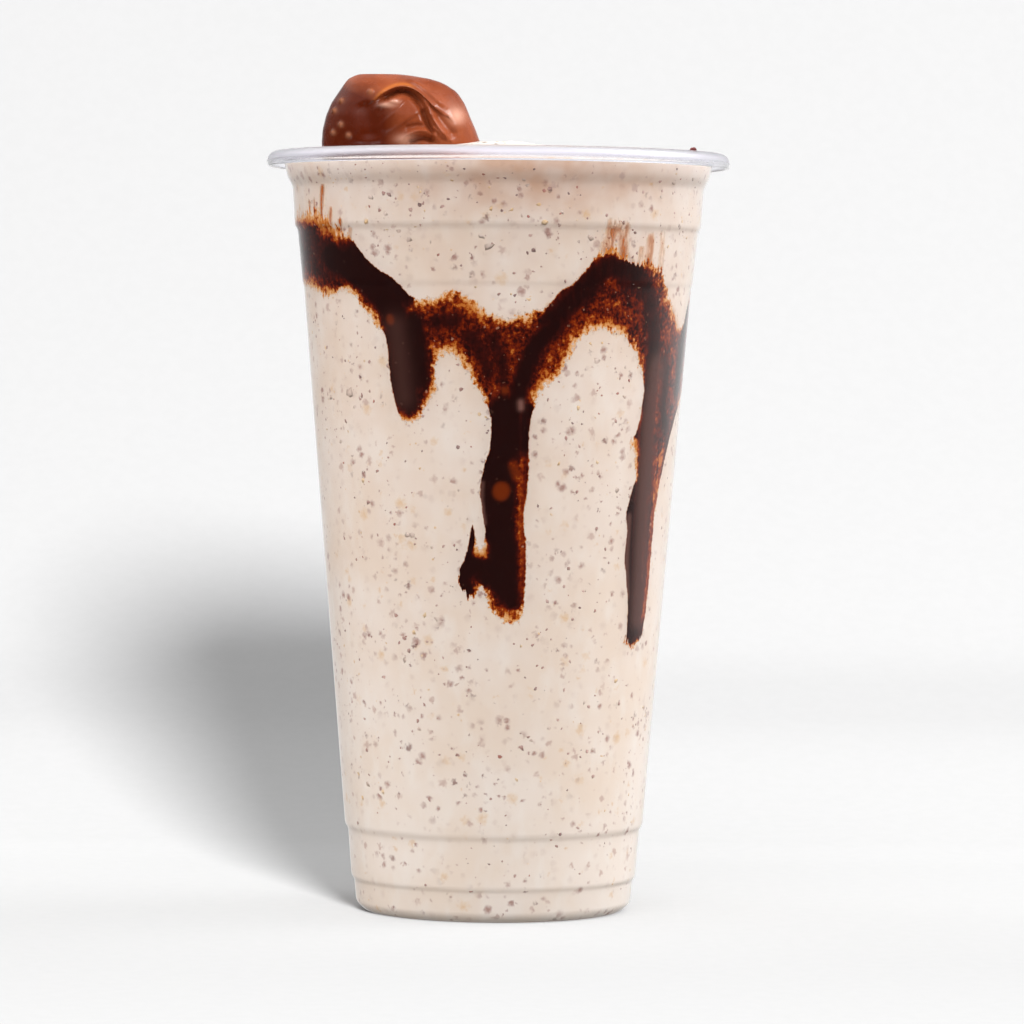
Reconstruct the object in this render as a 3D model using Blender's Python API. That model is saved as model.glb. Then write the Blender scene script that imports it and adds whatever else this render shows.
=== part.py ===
"""A clear plastic tumbler filled to the brim with milkshake, with chocolate syrup run down inside its wall.

Metres, +Z up. The origin is the centre of the base on the surface that the tumbler stands on, and the shown
side faces -Y. Angles are in degrees round the tumbler, 0 at the shown side and positive towards +X.
"""

import math

import bmesh
import bpy
import numpy as np
from mathutils import Matrix, Vector

MM = 0.001
GAP = 0.3 * MM
SEGMENTS = 48
ANGLE_STEP = 360 / SEGMENTS

# Tumbler: the outer wall as (height, radius) in mm, foot to rim, with the four moulded steps
WALL = 0.7 * MM
WALL_STATIONS = [
    (1.8, 28.3), (6.4, 28.7), (7.2, 29.3), (16.9, 30.05), (17.9, 30.7), (128.3, 39.8), (129.3, 40.1),
    (139.8, 41.15), (140.8, 41.75), (148.9, 42.25), (150.7, 43.3), (153.2, 43.65),
]
FOOT_RING_INNER = 24.4 * MM
FOOT_RING_OUTER = 26.4 * MM
PUSH_UP = 1.6 * MM
PUSH_UP_RADIUS = 22.6 * MM
RIM_RADIUS = 47.5 * MM
RIM_TOP = 155.9 * MM
RIM_CURL = 2.25 * MM
RIM_TIP_ANGLE = -28
RIM_FACETS = 7

# Milkshake: its top surface as (radius, height) in mm, from the crown to the wall
CROWN = [(0, 158.6), (5, 158.4), (10.5, 157.7), (18, 156.8), (28, 155.6), (37, 154.4), (41, 153.8)]
BRIM = 153.6 * MM

# Syrup: a film between the drink and the wall, its edges as (angle, height in mm)
FILM = 0.9 * MM
FILM_STEP = 2.2 * MM
UNROLLED_RADIUS = 38 * MM
FILM_ROWS = (60, 70, 80, 90, 100, 110, 120, 128.3, 129.3, 134.5, 139.8, 140.8)
TOP_EDGE = [
    (-180, 131), (-165, 134), (-150, 138), (-135, 141.5), (-120, 143), (-105, 142), (-90, 141.7),
    (-81, 142.6), (-72, 143), (-63, 142.8), (-57, 141.8), (-52, 139.6), (-46.5, 138), (-42.5, 134.8),
    (-37, 131.6), (-31, 129.4), (-27, 126.6), (-23.5, 125.2), (-18.5, 126), (-12.5, 127), (-7, 125.4),
    (-2, 122.7), (4, 122), (10.5, 123), (15, 124.4), (18, 127.2), (21.5, 128.4), (26, 131.6),
    (30, 134.8), (34, 136), (38.5, 134.2), (43.5, 132.9), (48.5, 133.3), (53, 132.6), (57.5, 129.8),
    (63, 125.4), (68, 121.8), (72.5, 119.8), (77, 121.6), (81, 125.4), (86, 127.8), (95, 129), (108, 128.2),
    (120, 126), (135, 124), (150, 126), (165, 129), (180, 131),
]
BACK_LEFT_DRIP = [
    (-180, 119), (-173, 117.6), (-168.5, 112), (-167.5, 104), (-166, 96.5), (-162, 92.6), (-158.5, 96),
    (-157.3, 104), (-155.5, 113), (-150, 120), (-142, 124.2), (-130, 127),
]
LEFT_SIDE_DRIP = [
    (-120, 126), (-113, 121.8), (-110.3, 115), (-106.5, 111), (-103, 114.5), (-101, 121.5), (-95, 126.4),
]
LEFT_BAND = [
    (-88, 128.2), (-81, 128.6), (-73.5, 128), (-65, 126.6), (-58.5, 126.2), (-52, 127.2), (-47.5, 126.6),
    (-43.5, 124), (-39, 120.6),
]
LEFT_DRIP = [
    (-35.3, 118), (-34.4, 112), (-33.6, 107), (-31.7, 102.6), (-28.8, 100.8), (-25.5, 101.4), (-22, 104.2),
    (-18.5, 107.6), (-18.9, 111.6),
]
MIDDLE_BAND = [(-16.5, 114.6), (-12.5, 114.2), (-9, 111.4), (-5.5, 107.4), (-2.8, 104.6)]
CENTRE_DRIP = [
    (-1.7, 101), (-2, 96.5), (-4, 92), (-5, 87.5), (-4.1, 82.5), (-3.4, 78.5), (-4.8, 75.8),
    (-6.5, 76.8), (-7.5, 80.6), (-8.7, 77.2), (-10.4, 73.6), (-12.4, 70.4), (-11, 67.4), (-8.6, 65.8),
    (-6.2, 67.4), (-4.3, 68.2), (-2.3, 65), (0.8, 62.4), (4.6, 60.8), (8.2, 61), (9.5, 65), (10, 71),
    (10, 76.5), (9, 82), (9.9, 87), (10.3, 93), (10.1, 99), (11.7, 104.6),
]
ARCH = [
    (15, 108), (18.5, 110.2), (21.5, 113.4), (24.5, 117.2), (29, 119.4), (34, 119.8), (39, 119), (44, 117),
    (48, 113.6),
]
RIGHT_DRIP = [
    (51.5, 109), (51, 103), (49.2, 98.9), (47, 97), (49.5, 94), (51, 91), (49.2, 87), (47.3, 83),
    (48.4, 79), (48, 74), (49.6, 69.4), (51.5, 64.6), (52.1, 60), (52.4, 56.8), (56, 55.2), (60.5, 56.6),
    (63, 61), (64, 68), (64, 76), (64.2, 83), (67, 90.5), (71.5, 97.4), (77.5, 103),
]
RIGHT_SIDE_DRIP = [
    (84, 106), (90, 107.6), (98, 109.6), (106, 110.6), (109.5, 106), (111.5, 100.6), (114.5, 98.4),
    (117.3, 101), (119.3, 107),
]
BACK_RIGHT_DRIP = [
    (125, 111.4), (137, 113), (150, 113.4), (157, 111), (160, 104), (161.2, 95), (162.6, 86.6), (165.4, 82.6),
    (168.6, 86), (170, 95), (171.4, 105), (174.5, 114.4), (180, 119),
]
BOTTOM_EDGE = (
    BACK_LEFT_DRIP + LEFT_SIDE_DRIP + LEFT_BAND + LEFT_DRIP + MIDDLE_BAND + CENTRE_DRIP + ARCH + RIGHT_DRIP
    + RIGHT_SIDE_DRIP + BACK_RIGHT_DRIP
)

# Bonbon: level sections as (height, left, right, half depth) in mm, from its sunken foot to its top
BONBON_SECTIONS = [
    (151.2, -31, -9, 6), (152.2, -33.6, -6.2, 8.6), (154.6, -35.6, -4, 10.4), (157.4, -36.4, -3.5, 11.2),
    (160.4, -36.2, -4.6, 11.2), (163.4, -35.5, -5.9, 10.6), (166, -34.4, -7, 9.6), (168.4, -32.8, -8.6, 8),
    (170.2, -31.6, -11.4, 6.2), (171.3, -30.6, -15, 4.4), (171.9, -28.8, -20, 2.4),
]
BONBON_SIDES = 28
BONBON_SQUARENESS = 2.5
FOLD_CURVES = {
    "arched_fold": (0.95, [(-25.2, 166.6), (-23.2, 168.7), (-20.8, 169.8), (-18.4, 169.8), (-15.8, 168.4),
                           (-13.4, 166.2), (-11, 164)]),
    "long_fold": (0.7, [(-15.6, 165.6), (-14.4, 163.6), (-13, 161.4), (-11.6, 159.6), (-10.6, 158.6)]),
    "lower_lip": (0.7, [(-19.2, 158.6), (-17.4, 159.6), (-15.4, 159.9), (-13.4, 159.4), (-12, 158.5)]),
}
HOLLOW_UNDER_FOLD = (1.1, [(-23.4, 167), (-21, 168.2), (-18.8, 168), (-16.8, 166.6), (-15, 164.8)])
NUT_BUMPS = [(-32.2, 166.2), (-33.6, 164.2), (-32.2, 161.2), (-33.8, 159.6), (-30.6, 159), (-26.2, 168)]
NUT_BUMP_RADIUS = 0.8 * MM

# Colours as (red, green, blue), linear
PLASTIC_COLOUR = (0.86, 0.87, 0.9)
MILKSHAKE_COLOUR = (0.78, 0.66, 0.54)
SYRUP_COLOUR = (0.045, 0.011, 0.006)
BONBON_COLOUR = (0.27, 0.085, 0.038)


def clear_scene():
    """Removes every object that the file starts with."""
    for existing in list(bpy.data.objects):
        bpy.data.objects.remove(existing, do_unlink=True)


def make_material(name, colour, roughness, alpha=1.0):
    """Returns a plain material.

    Args:
        name: Its name.
        colour: Linear red, green and blue.
        roughness: 0 for a mirror finish, 1 for matt.
        alpha: 1 where nothing shows through.
    """
    material = bpy.data.materials.new(name)
    material.use_nodes = True
    shader = material.node_tree.nodes["Principled BSDF"]
    shader.inputs["Base Color"].default_value = (*colour, 1)
    shader.inputs["Roughness"].default_value = roughness
    shader.inputs["Metallic"].default_value = 0
    shader.inputs["Alpha"].default_value = alpha
    return material


def add_object(name, mesh, material=None):
    """Returns a new object of this mesh in the scene, named after its sub-part."""
    made = bpy.data.objects.new(name, mesh)
    bpy.context.scene.collection.objects.link(made)
    if material:
        mesh.materials.append(material)
    return made


def hide_cutter(cutter):
    """Marks an object that only shapes another one."""
    cutter.hide_render = True
    cutter.display_type = "WIRE"


def add_boolean(target, operand, operation):
    """Joins or cuts one object with another, which becomes a hidden guide."""
    hide_cutter(operand)
    boolean = target.modifiers.new(operand.name, "BOOLEAN")
    boolean.operation = operation
    boolean.solver = "EXACT"
    boolean.object = operand


def smooth_path(corners, step):
    """Returns points along a smooth curve through the corners.

    Args:
        corners: Places that the curve passes through, in metres.
        step: Distance between two points, in metres.
    """
    corners = [Vector(corner) for corner in corners]
    corners = [2 * corners[0] - corners[1], *corners, 2 * corners[-1] - corners[-2]]
    path = []
    for before, start, end, after in zip(corners, corners[1:], corners[2:], corners[3:]):
        count = max(1, round((end - start).length / step))
        for i in range(count):
            t = i / count
            bend = (2 * before - 5 * start + 4 * end - after) * t**2
            twist = (3 * (start - end) + after - before) * t**3
            path.append(start + 0.5 * ((end - before) * t + bend + twist))
    return [*path, corners[-2]]


def arc(centre, radius, first, last, count):
    """Returns points on an arc as (x, z), the angles in degrees from +X towards +Z."""
    angles = np.radians(np.linspace(first, last, count))
    return [(centre[0] + radius * math.cos(a), centre[1] + radius * math.sin(a)) for a in angles]


def revolve(name, profile, material=None):
    """Returns a turned object.

    Args:
        name: Its name.
        profile: Points (radius, height) in metres, from the axis to the axis, down the outer side.
        material: Its material, if it isn't a guide.
    """
    mesh = bpy.data.meshes.new(name)
    edges = [(i, i + 1) for i in range(len(profile) - 1)]
    mesh.from_pydata([(radius, 0, height) for radius, height in profile], edges, [])
    turned = add_object(name, mesh, material)
    screw = turned.modifiers.new("Turn", "SCREW")
    screw.steps = SEGMENTS
    screw.render_steps = SEGMENTS
    screw.use_merge_vertices = True
    screw.merge_threshold = 0.00001
    screw.use_smooth_shade = True
    return turned


def inner_radius(height):
    """Returns the radius of the tumbler's inner wall at a height, both in metres."""
    heights, radii = zip(*WALL_STATIONS)
    return float(np.interp(height / MM, heights, radii)) * MM - WALL


def build_tumbler(material):
    """The thin wall with its moulded steps, the foot ring, the pushed-up base and the curled rim."""
    outer = [(radius * MM, height * MM) for height, radius in WALL_STATIONS]
    inner = [(radius - WALL, height) for radius, height in outer]
    curl_centre = (RIM_RADIUS - RIM_CURL, RIM_TOP - RIM_CURL)
    over_rim = arc(curl_centre, RIM_CURL, 180, RIM_TIP_ANGLE, RIM_FACETS + 1)
    under_rim = arc(curl_centre, RIM_CURL - WALL, RIM_TIP_ANGLE, 170, RIM_FACETS)
    outer_base = [(FOOT_RING_OUTER, 0), (FOOT_RING_INNER, 0), (PUSH_UP_RADIUS, PUSH_UP), (0, PUSH_UP)]
    inner_base = [(radius, height + WALL) for radius, height in outer_base[::-1]]
    return revolve("cup", inner_base + inner + over_rim + under_rim + outer[::-1] + outer_base, material)


def milkshake_profile():
    """Returns the drink's turned profile: its crown, its side against the wall and its underside."""
    crown = [(radius * MM, height * MM) for radius, height in CROWN]
    stations = [height * MM for height, _ in WALL_STATIONS if height * MM < BRIM]
    side = [(inner_radius(height) - GAP, height) for height in [BRIM, *stations[::-1]]]
    floor = WALL + GAP
    foot = [(FOOT_RING_OUTER - GAP, floor), (FOOT_RING_INNER, floor), (PUSH_UP_RADIUS, PUSH_UP + floor)]
    return [*crown, *side, *foot, (0, PUSH_UP + floor)]


def unroll(corners):
    """Returns (angle, height) places as points of the unrolled wall, in metres."""
    return [(math.radians(angle) * UNROLLED_RADIUS, height * MM) for angle, height in corners]


def grow_edge(edge, distance):
    """Returns a path moved sideways to its left by a distance, its two ends straight up or down."""
    grown = []
    for i, point in enumerate(edge):
        if 0 < i < len(edge) - 1:
            along = edge[i + 1] - edge[i - 1]
        else:
            along = Vector((1, 0))
        grown.append(point + distance * Vector((-along.y, along.x)).normalized())
    return grown


def wall_point(point, distance_from_wall):
    """Returns where a point of the unrolled wall lies, this far inside the tumbler's inner wall."""
    angle = point.x / UNROLLED_RADIUS
    radius = inner_radius(point.y) - distance_from_wall
    return Vector((radius * math.sin(angle), -radius * math.cos(angle), point.y))


def build_film(name, growth, nearest, thickness, material=None):
    """A film on the inside of the wall, with the syrup's wavy edges.

    Args:
        name: The object's name.
        growth: How far its edges lie outside the syrup's, in metres.
        nearest: Distance of its outer face from the tumbler's inner wall, in metres.
        thickness: Its thickness, in metres.
        material: Its material, if it isn't a cutter.
    """
    top = grow_edge(smooth_path(unroll(TOP_EDGE), FILM_STEP), growth)
    bottom = grow_edge(smooth_path(unroll(BOTTOM_EDGE), FILM_STEP), -growth)
    flat = bmesh.new()
    flat.faces.new([flat.verts.new((point.x, point.y, 0)) for point in bottom + top[::-1]])
    columns = unroll([(angle, 0) for angle in np.arange(-180 + ANGLE_STEP, 180, ANGLE_STEP)])
    cuts = [((x, 0, 0), (1, 0, 0)) for x, _ in columns]
    cuts += [((0, height * MM, 0), (0, 1, 0)) for height in FILM_ROWS]
    for place, direction in cuts:
        everything = [*flat.verts, *flat.edges, *flat.faces]
        bmesh.ops.bisect_plane(flat, geom=everything, dist=1e-7, plane_co=place, plane_no=direction)
    bmesh.ops.triangulate(flat, faces=flat.faces)
    for vertex in flat.verts:
        vertex.co = wall_point(vertex.co, nearest)
    bmesh.ops.remove_doubles(flat, verts=flat.verts, dist=0.00001)
    mesh = bpy.data.meshes.new(name)
    flat.to_mesh(mesh)
    flat.free()
    film = add_object(name, mesh, material)
    solidify = film.modifiers.new("Thickness", "SOLIDIFY")
    solidify.thickness = thickness
    solidify.offset = -1
    return film


def bonbon_section(height):
    """Returns the bonbon's centre in X, half width and half depth at a height, all in metres."""
    heights, lefts, rights, depths = np.array(BONBON_SECTIONS).T * MM
    left, right, depth = (float(np.interp(height, heights, values)) for values in (lefts, rights, depths))
    return (left + right) / 2, (right - left) / 2, depth


def bonbon_front(x, z, sink=0.0):
    """Returns the point of the bonbon's shown face at (x, z), or one this far under it, in metres."""
    centre, half_width, depth = bonbon_section(z)
    across = min(1.0, abs(x - centre) / half_width)
    y = -depth * (1 - across**BONBON_SQUARENESS) ** (1 / BONBON_SQUARENESS)
    return Vector((x, y + sink, z))


def build_bonbon_body(name, growth, material=None):
    """The chunk without its folds, as level sections joined to each other."""
    made = bmesh.new()
    rings = []
    for height, *_ in BONBON_SECTIONS:
        centre, half_width, depth = bonbon_section(height * MM)
        ring = []
        for i in range(BONBON_SIDES):
            turn = 2 * math.pi * i / BONBON_SIDES
            cos_part = math.copysign(abs(math.cos(turn)) ** (2 / BONBON_SQUARENESS), math.cos(turn))
            sin_part = math.copysign(abs(math.sin(turn)) ** (2 / BONBON_SQUARENESS), math.sin(turn))
            x = centre + (half_width + growth) * cos_part
            ring.append(made.verts.new((x, (depth + growth) * sin_part, height * MM)))
        rings.append([made.edges.new((ring[i - 1], ring[i])) for i in range(BONBON_SIDES)])
    for lower, upper in zip(rings, rings[1:]):
        bmesh.ops.bridge_loops(made, edges=lower + upper)
    bmesh.ops.contextual_create(made, geom=rings[0])
    bmesh.ops.contextual_create(made, geom=rings[-1])
    bmesh.ops.translate(made, verts=[v for e in rings[0] for v in e.verts][::2], vec=(0, 0, -growth))
    bmesh.ops.recalc_face_normals(made, faces=made.faces)
    mesh = bpy.data.meshes.new(name)
    made.to_mesh(mesh)
    made.free()
    return add_object(name, mesh, material)


def build_strand(name, radius, corners, sink):
    """A tapered round strand along the bonbon's shown face.

    Args:
        name: The object's name.
        radius: Radius at its middle, in mm.
        corners: Places (x, z) along it, in mm.
        sink: Depth of its centre line under the face, in metres.
    """
    route = [bonbon_front(x * MM, z * MM, sink) for x, z in corners]
    route = smooth_path(route, 1.5 * MM)
    curve = bpy.data.curves.new(name, "CURVE")
    curve.dimensions = "3D"
    curve.bevel_depth = radius * MM
    curve.bevel_resolution = 1
    curve.use_fill_caps = True
    spline = curve.splines.new("POLY")
    spline.points.add(len(route) - 1)
    for i, (point, place) in enumerate(zip(spline.points, route)):
        point.co = (*place, 1)
        point.radius = 0.35 + 0.65 * math.sin(math.pi * i / (len(route) - 1)) ** 0.5
    strand = bpy.data.objects.new(name, curve)
    bpy.context.scene.collection.objects.link(strand)
    mesh = bpy.data.meshes.new_from_object(strand.evaluated_get(bpy.context.evaluated_depsgraph_get()))
    bpy.data.objects.remove(strand)
    return add_object(name, mesh)


def build_bump(name, x, z):
    """A small round bump where a nut pushes up the coating, at (x, z) in mm."""
    made = bmesh.new()
    place = Matrix.Translation(bonbon_front(x * MM, z * MM, 0.25 * NUT_BUMP_RADIUS))
    bmesh.ops.create_icosphere(made, subdivisions=2, radius=NUT_BUMP_RADIUS, matrix=place)
    mesh = bpy.data.meshes.new(name)
    made.to_mesh(mesh)
    made.free()
    return add_object(name, mesh)


def build_bonbon(material):
    """The coated chunk with its hollow, its folds and its bumps."""
    bonbon = build_bonbon_body("chocolate_bonbon", 0, material)
    radius, corners = HOLLOW_UNDER_FOLD
    add_boolean(bonbon, build_strand("hollow_under_fold", radius, corners, 0), "DIFFERENCE")
    for name, (radius, corners) in FOLD_CURVES.items():
        add_boolean(bonbon, build_strand(name, radius, corners, 0.3 * radius * MM), "UNION")
    for i, (x, z) in enumerate(NUT_BUMPS):
        add_boolean(bonbon, build_bump(f"nut_bump_{i + 1}", x, z), "UNION")
    return bonbon


def build_milkshake(material):
    """The drink, with room in it for the bonbon and the syrup."""
    milkshake = revolve("milkshake", milkshake_profile(), material)
    add_boolean(milkshake, build_bonbon_body("bonbon_room", GAP), "DIFFERENCE")
    add_boolean(milkshake, build_film("syrup_room", GAP, -GAP, FILM + 3 * GAP), "DIFFERENCE")
    return milkshake


def main():
    """Builds the four sub-parts."""
    clear_scene()
    build_tumbler(make_material("clear_plastic", PLASTIC_COLOUR, 0.05, alpha=0.25))
    build_milkshake(make_material("milkshake", MILKSHAKE_COLOUR, 0.5))
    build_film("syrup_drizzle", 0, GAP, FILM, make_material("chocolate_syrup", SYRUP_COLOUR, 0.15))
    build_bonbon(make_material("milk_chocolate", BONBON_COLOUR, 0.3))


main()
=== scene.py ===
"""Looks of a milkshake in a clear plastic tumbler, with syrup inside its wall and a bonbon in its top.

Metres, +Z up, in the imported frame: the origin is the centre of the base and the shown side faces -Y. Places
on the wall are (angle, height): degrees from the shown side, positive towards +X, and millimetres from the
base.
"""

import logging
import math
from dataclasses import dataclass, field
from enum import Enum
from typing import Any, Sequence

import bpy
import numpy as np
from mathutils import Matrix, Vector, noise


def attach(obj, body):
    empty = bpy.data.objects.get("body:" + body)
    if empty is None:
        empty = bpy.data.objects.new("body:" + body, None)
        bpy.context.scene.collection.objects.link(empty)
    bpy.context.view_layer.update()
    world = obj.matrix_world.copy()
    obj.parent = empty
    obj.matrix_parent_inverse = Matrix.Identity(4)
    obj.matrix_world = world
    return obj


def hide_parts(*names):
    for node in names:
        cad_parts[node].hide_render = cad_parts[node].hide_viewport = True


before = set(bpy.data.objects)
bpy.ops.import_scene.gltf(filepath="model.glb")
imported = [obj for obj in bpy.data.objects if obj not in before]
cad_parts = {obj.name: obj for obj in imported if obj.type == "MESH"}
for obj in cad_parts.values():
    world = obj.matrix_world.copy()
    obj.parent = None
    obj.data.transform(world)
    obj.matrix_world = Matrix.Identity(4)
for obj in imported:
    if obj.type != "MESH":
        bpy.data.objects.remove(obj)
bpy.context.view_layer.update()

LOG = logging.getLogger("milkshake")
MM = 0.001
Place = tuple[float, float]
Colour = tuple[float, float, float]


def linear(red: float, green: float, blue: float) -> Colour:
    """Returns a screen colour of 0 to 255 as linear values."""

    def channel(value: float) -> float:
        """Returns one linear value."""
        share = value / 255
        return share / 12.92 if share <= 0.04045 else ((share + 0.055) / 1.055) ** 2.4

    return channel(red), channel(green), channel(blue)


def select_only(piece: bpy.types.Object) -> None:
    """Makes one object the only selected and the active one."""
    bpy.ops.object.select_all(action="DESELECT")
    piece.select_set(True)
    bpy.context.view_layer.objects.active = piece


def name_active(name: str) -> bpy.types.Object:
    """Names the active object and its mesh, and returns the object."""
    piece = bpy.context.view_layer.objects.active
    piece.name = name
    piece.data.name = name
    return piece


def apply_modifier(piece: bpy.types.Object, kind: str, **settings: Any) -> None:
    """Adds a modifier to a piece and applies it.

    Args:
        piece: The object that it changes.
        kind: The modifier's type.
        **settings: Its values.
    """
    select_only(piece)
    modifier = piece.modifiers.new(kind.title(), kind)
    for key, value in settings.items():
        setattr(modifier, key, value)
    bpy.ops.object.modifier_apply(modifier=modifier.name)


def smooth_shade(piece: bpy.types.Object, angle: float = 40) -> None:
    """Shades a piece smooth, apart from edges sharper than the angle in degrees."""
    select_only(piece)
    bpy.ops.object.shade_smooth_by_angle(angle=math.radians(angle))


def points_of(piece: bpy.types.Object) -> np.ndarray:
    """Returns a mesh's points as rows of x, y, z in metres."""
    flat = np.empty(len(piece.data.vertices) * 3, np.float32)
    piece.data.vertices.foreach_get("co", flat)
    return flat.reshape(-1, 3).astype(float)


def move_points(piece: bpy.types.Object, points: np.ndarray) -> None:
    """Puts a mesh's points at new places."""
    piece.data.vertices.foreach_set("co", points.astype(np.float32).ravel())
    piece.data.update()


def store_values(piece: bpy.types.Object, name: str, values: np.ndarray) -> None:
    """Keeps one number for each point of a mesh, under a name that a material reads."""
    attribute = piece.data.attributes.new(name, "FLOAT", "POINT")
    attribute.data.foreach_set("value", values.astype(np.float32))


def smooth_path(corners: Sequence[Sequence[float]], step: float) -> np.ndarray:
    """Returns points along a smooth curve through the corners.

    Args:
        corners: Places that the curve passes through.
        step: Distance between two points, in the corners' unit.
    """
    rows = np.array(corners, float)
    rows = np.vstack([2 * rows[0] - rows[1], rows, 2 * rows[-1] - rows[-2]])
    path = []
    for before, start, end, after in zip(rows, rows[1:], rows[2:], rows[3:]):
        count = max(1, round(float(np.linalg.norm(end - start)) / step))
        for t in np.arange(count) / count:
            bend = (2 * before - 5 * start + 4 * end - after) * t**2
            twist = (3 * (start - end) + after - before) * t**3
            path.append(start + 0.5 * ((end - before) * t + bend + twist))
    return np.array([*path, rows[-2]])


def round_corners(profile: Sequence[Place], radius: float, count: int = 3) -> list[Place]:
    """Returns a profile whose corners are rounded by short curves.

    Args:
        profile: Points (radius, height).
        radius: Length taken off each side of a corner, at most.
        count: Points on each rounded corner.
    """
    rows = [np.array(point, float) for point in profile]
    rounded = [rows[0]]
    for before, corner, after in zip(rows, rows[1:], rows[2:]):
        back, on = before - corner, after - corner
        reach = min(radius, 0.45 * np.linalg.norm(back), 0.45 * np.linalg.norm(on))
        start = corner + back / np.linalg.norm(back) * reach
        end = corner + on / np.linalg.norm(on) * reach
        for t in np.linspace(0, 1, count):
            rounded.append((1 - t) ** 2 * start + 2 * t * (1 - t) * corner + t**2 * end)
    return [tuple(point) for point in [*rounded, rows[-1]]]


def arc(centre: Place, radius: float, first: float, last: float, count: int) -> list[Place]:
    """Returns points on an arc, its angles in degrees from +X towards +Z."""
    turns = np.radians(np.linspace(first, last, count))
    return [(centre[0] + radius * math.cos(turn), centre[1] + radius * math.sin(turn)) for turn in turns]


def turn_profile(name: str, profile: Sequence[Place], steps: int) -> bpy.types.Object:
    """Draws a profile by extruding a point and spins it round the tumbler's axis.

    Args:
        name: The new piece's name.
        profile: Points (radius, height) in mm, from the axis to the axis.
        steps: Sides of the turned shape.

    Returns:
        The closed piece, its faces pointing out.
    """
    points = [(radius * MM, height * MM) for radius, height in profile]
    bpy.ops.object.select_all(action="DESELECT")
    bpy.ops.mesh.primitive_plane_add(size=1 * MM, enter_editmode=True, location=(0, 0, 0))
    bpy.ops.mesh.merge(type="CENTER")
    bpy.ops.transform.translate(value=(points[0][0], 0, points[0][1]))
    for here, there in zip(points, points[1:]):
        step = (there[0] - here[0], 0, there[1] - here[1])
        bpy.ops.mesh.extrude_region_move(TRANSFORM_OT_translate={"value": step})
    bpy.ops.mesh.select_all(action="SELECT")
    bpy.ops.mesh.spin(steps=steps, angle=2 * math.pi, center=(0, 0, 0), axis=(0, 0, 1))
    bpy.ops.mesh.select_all(action="SELECT")
    bpy.ops.mesh.remove_doubles(threshold=0.01 * MM)
    bpy.ops.mesh.normals_make_consistent(inside=False)
    bpy.ops.object.mode_set(mode="OBJECT")
    return name_active(name)


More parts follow.
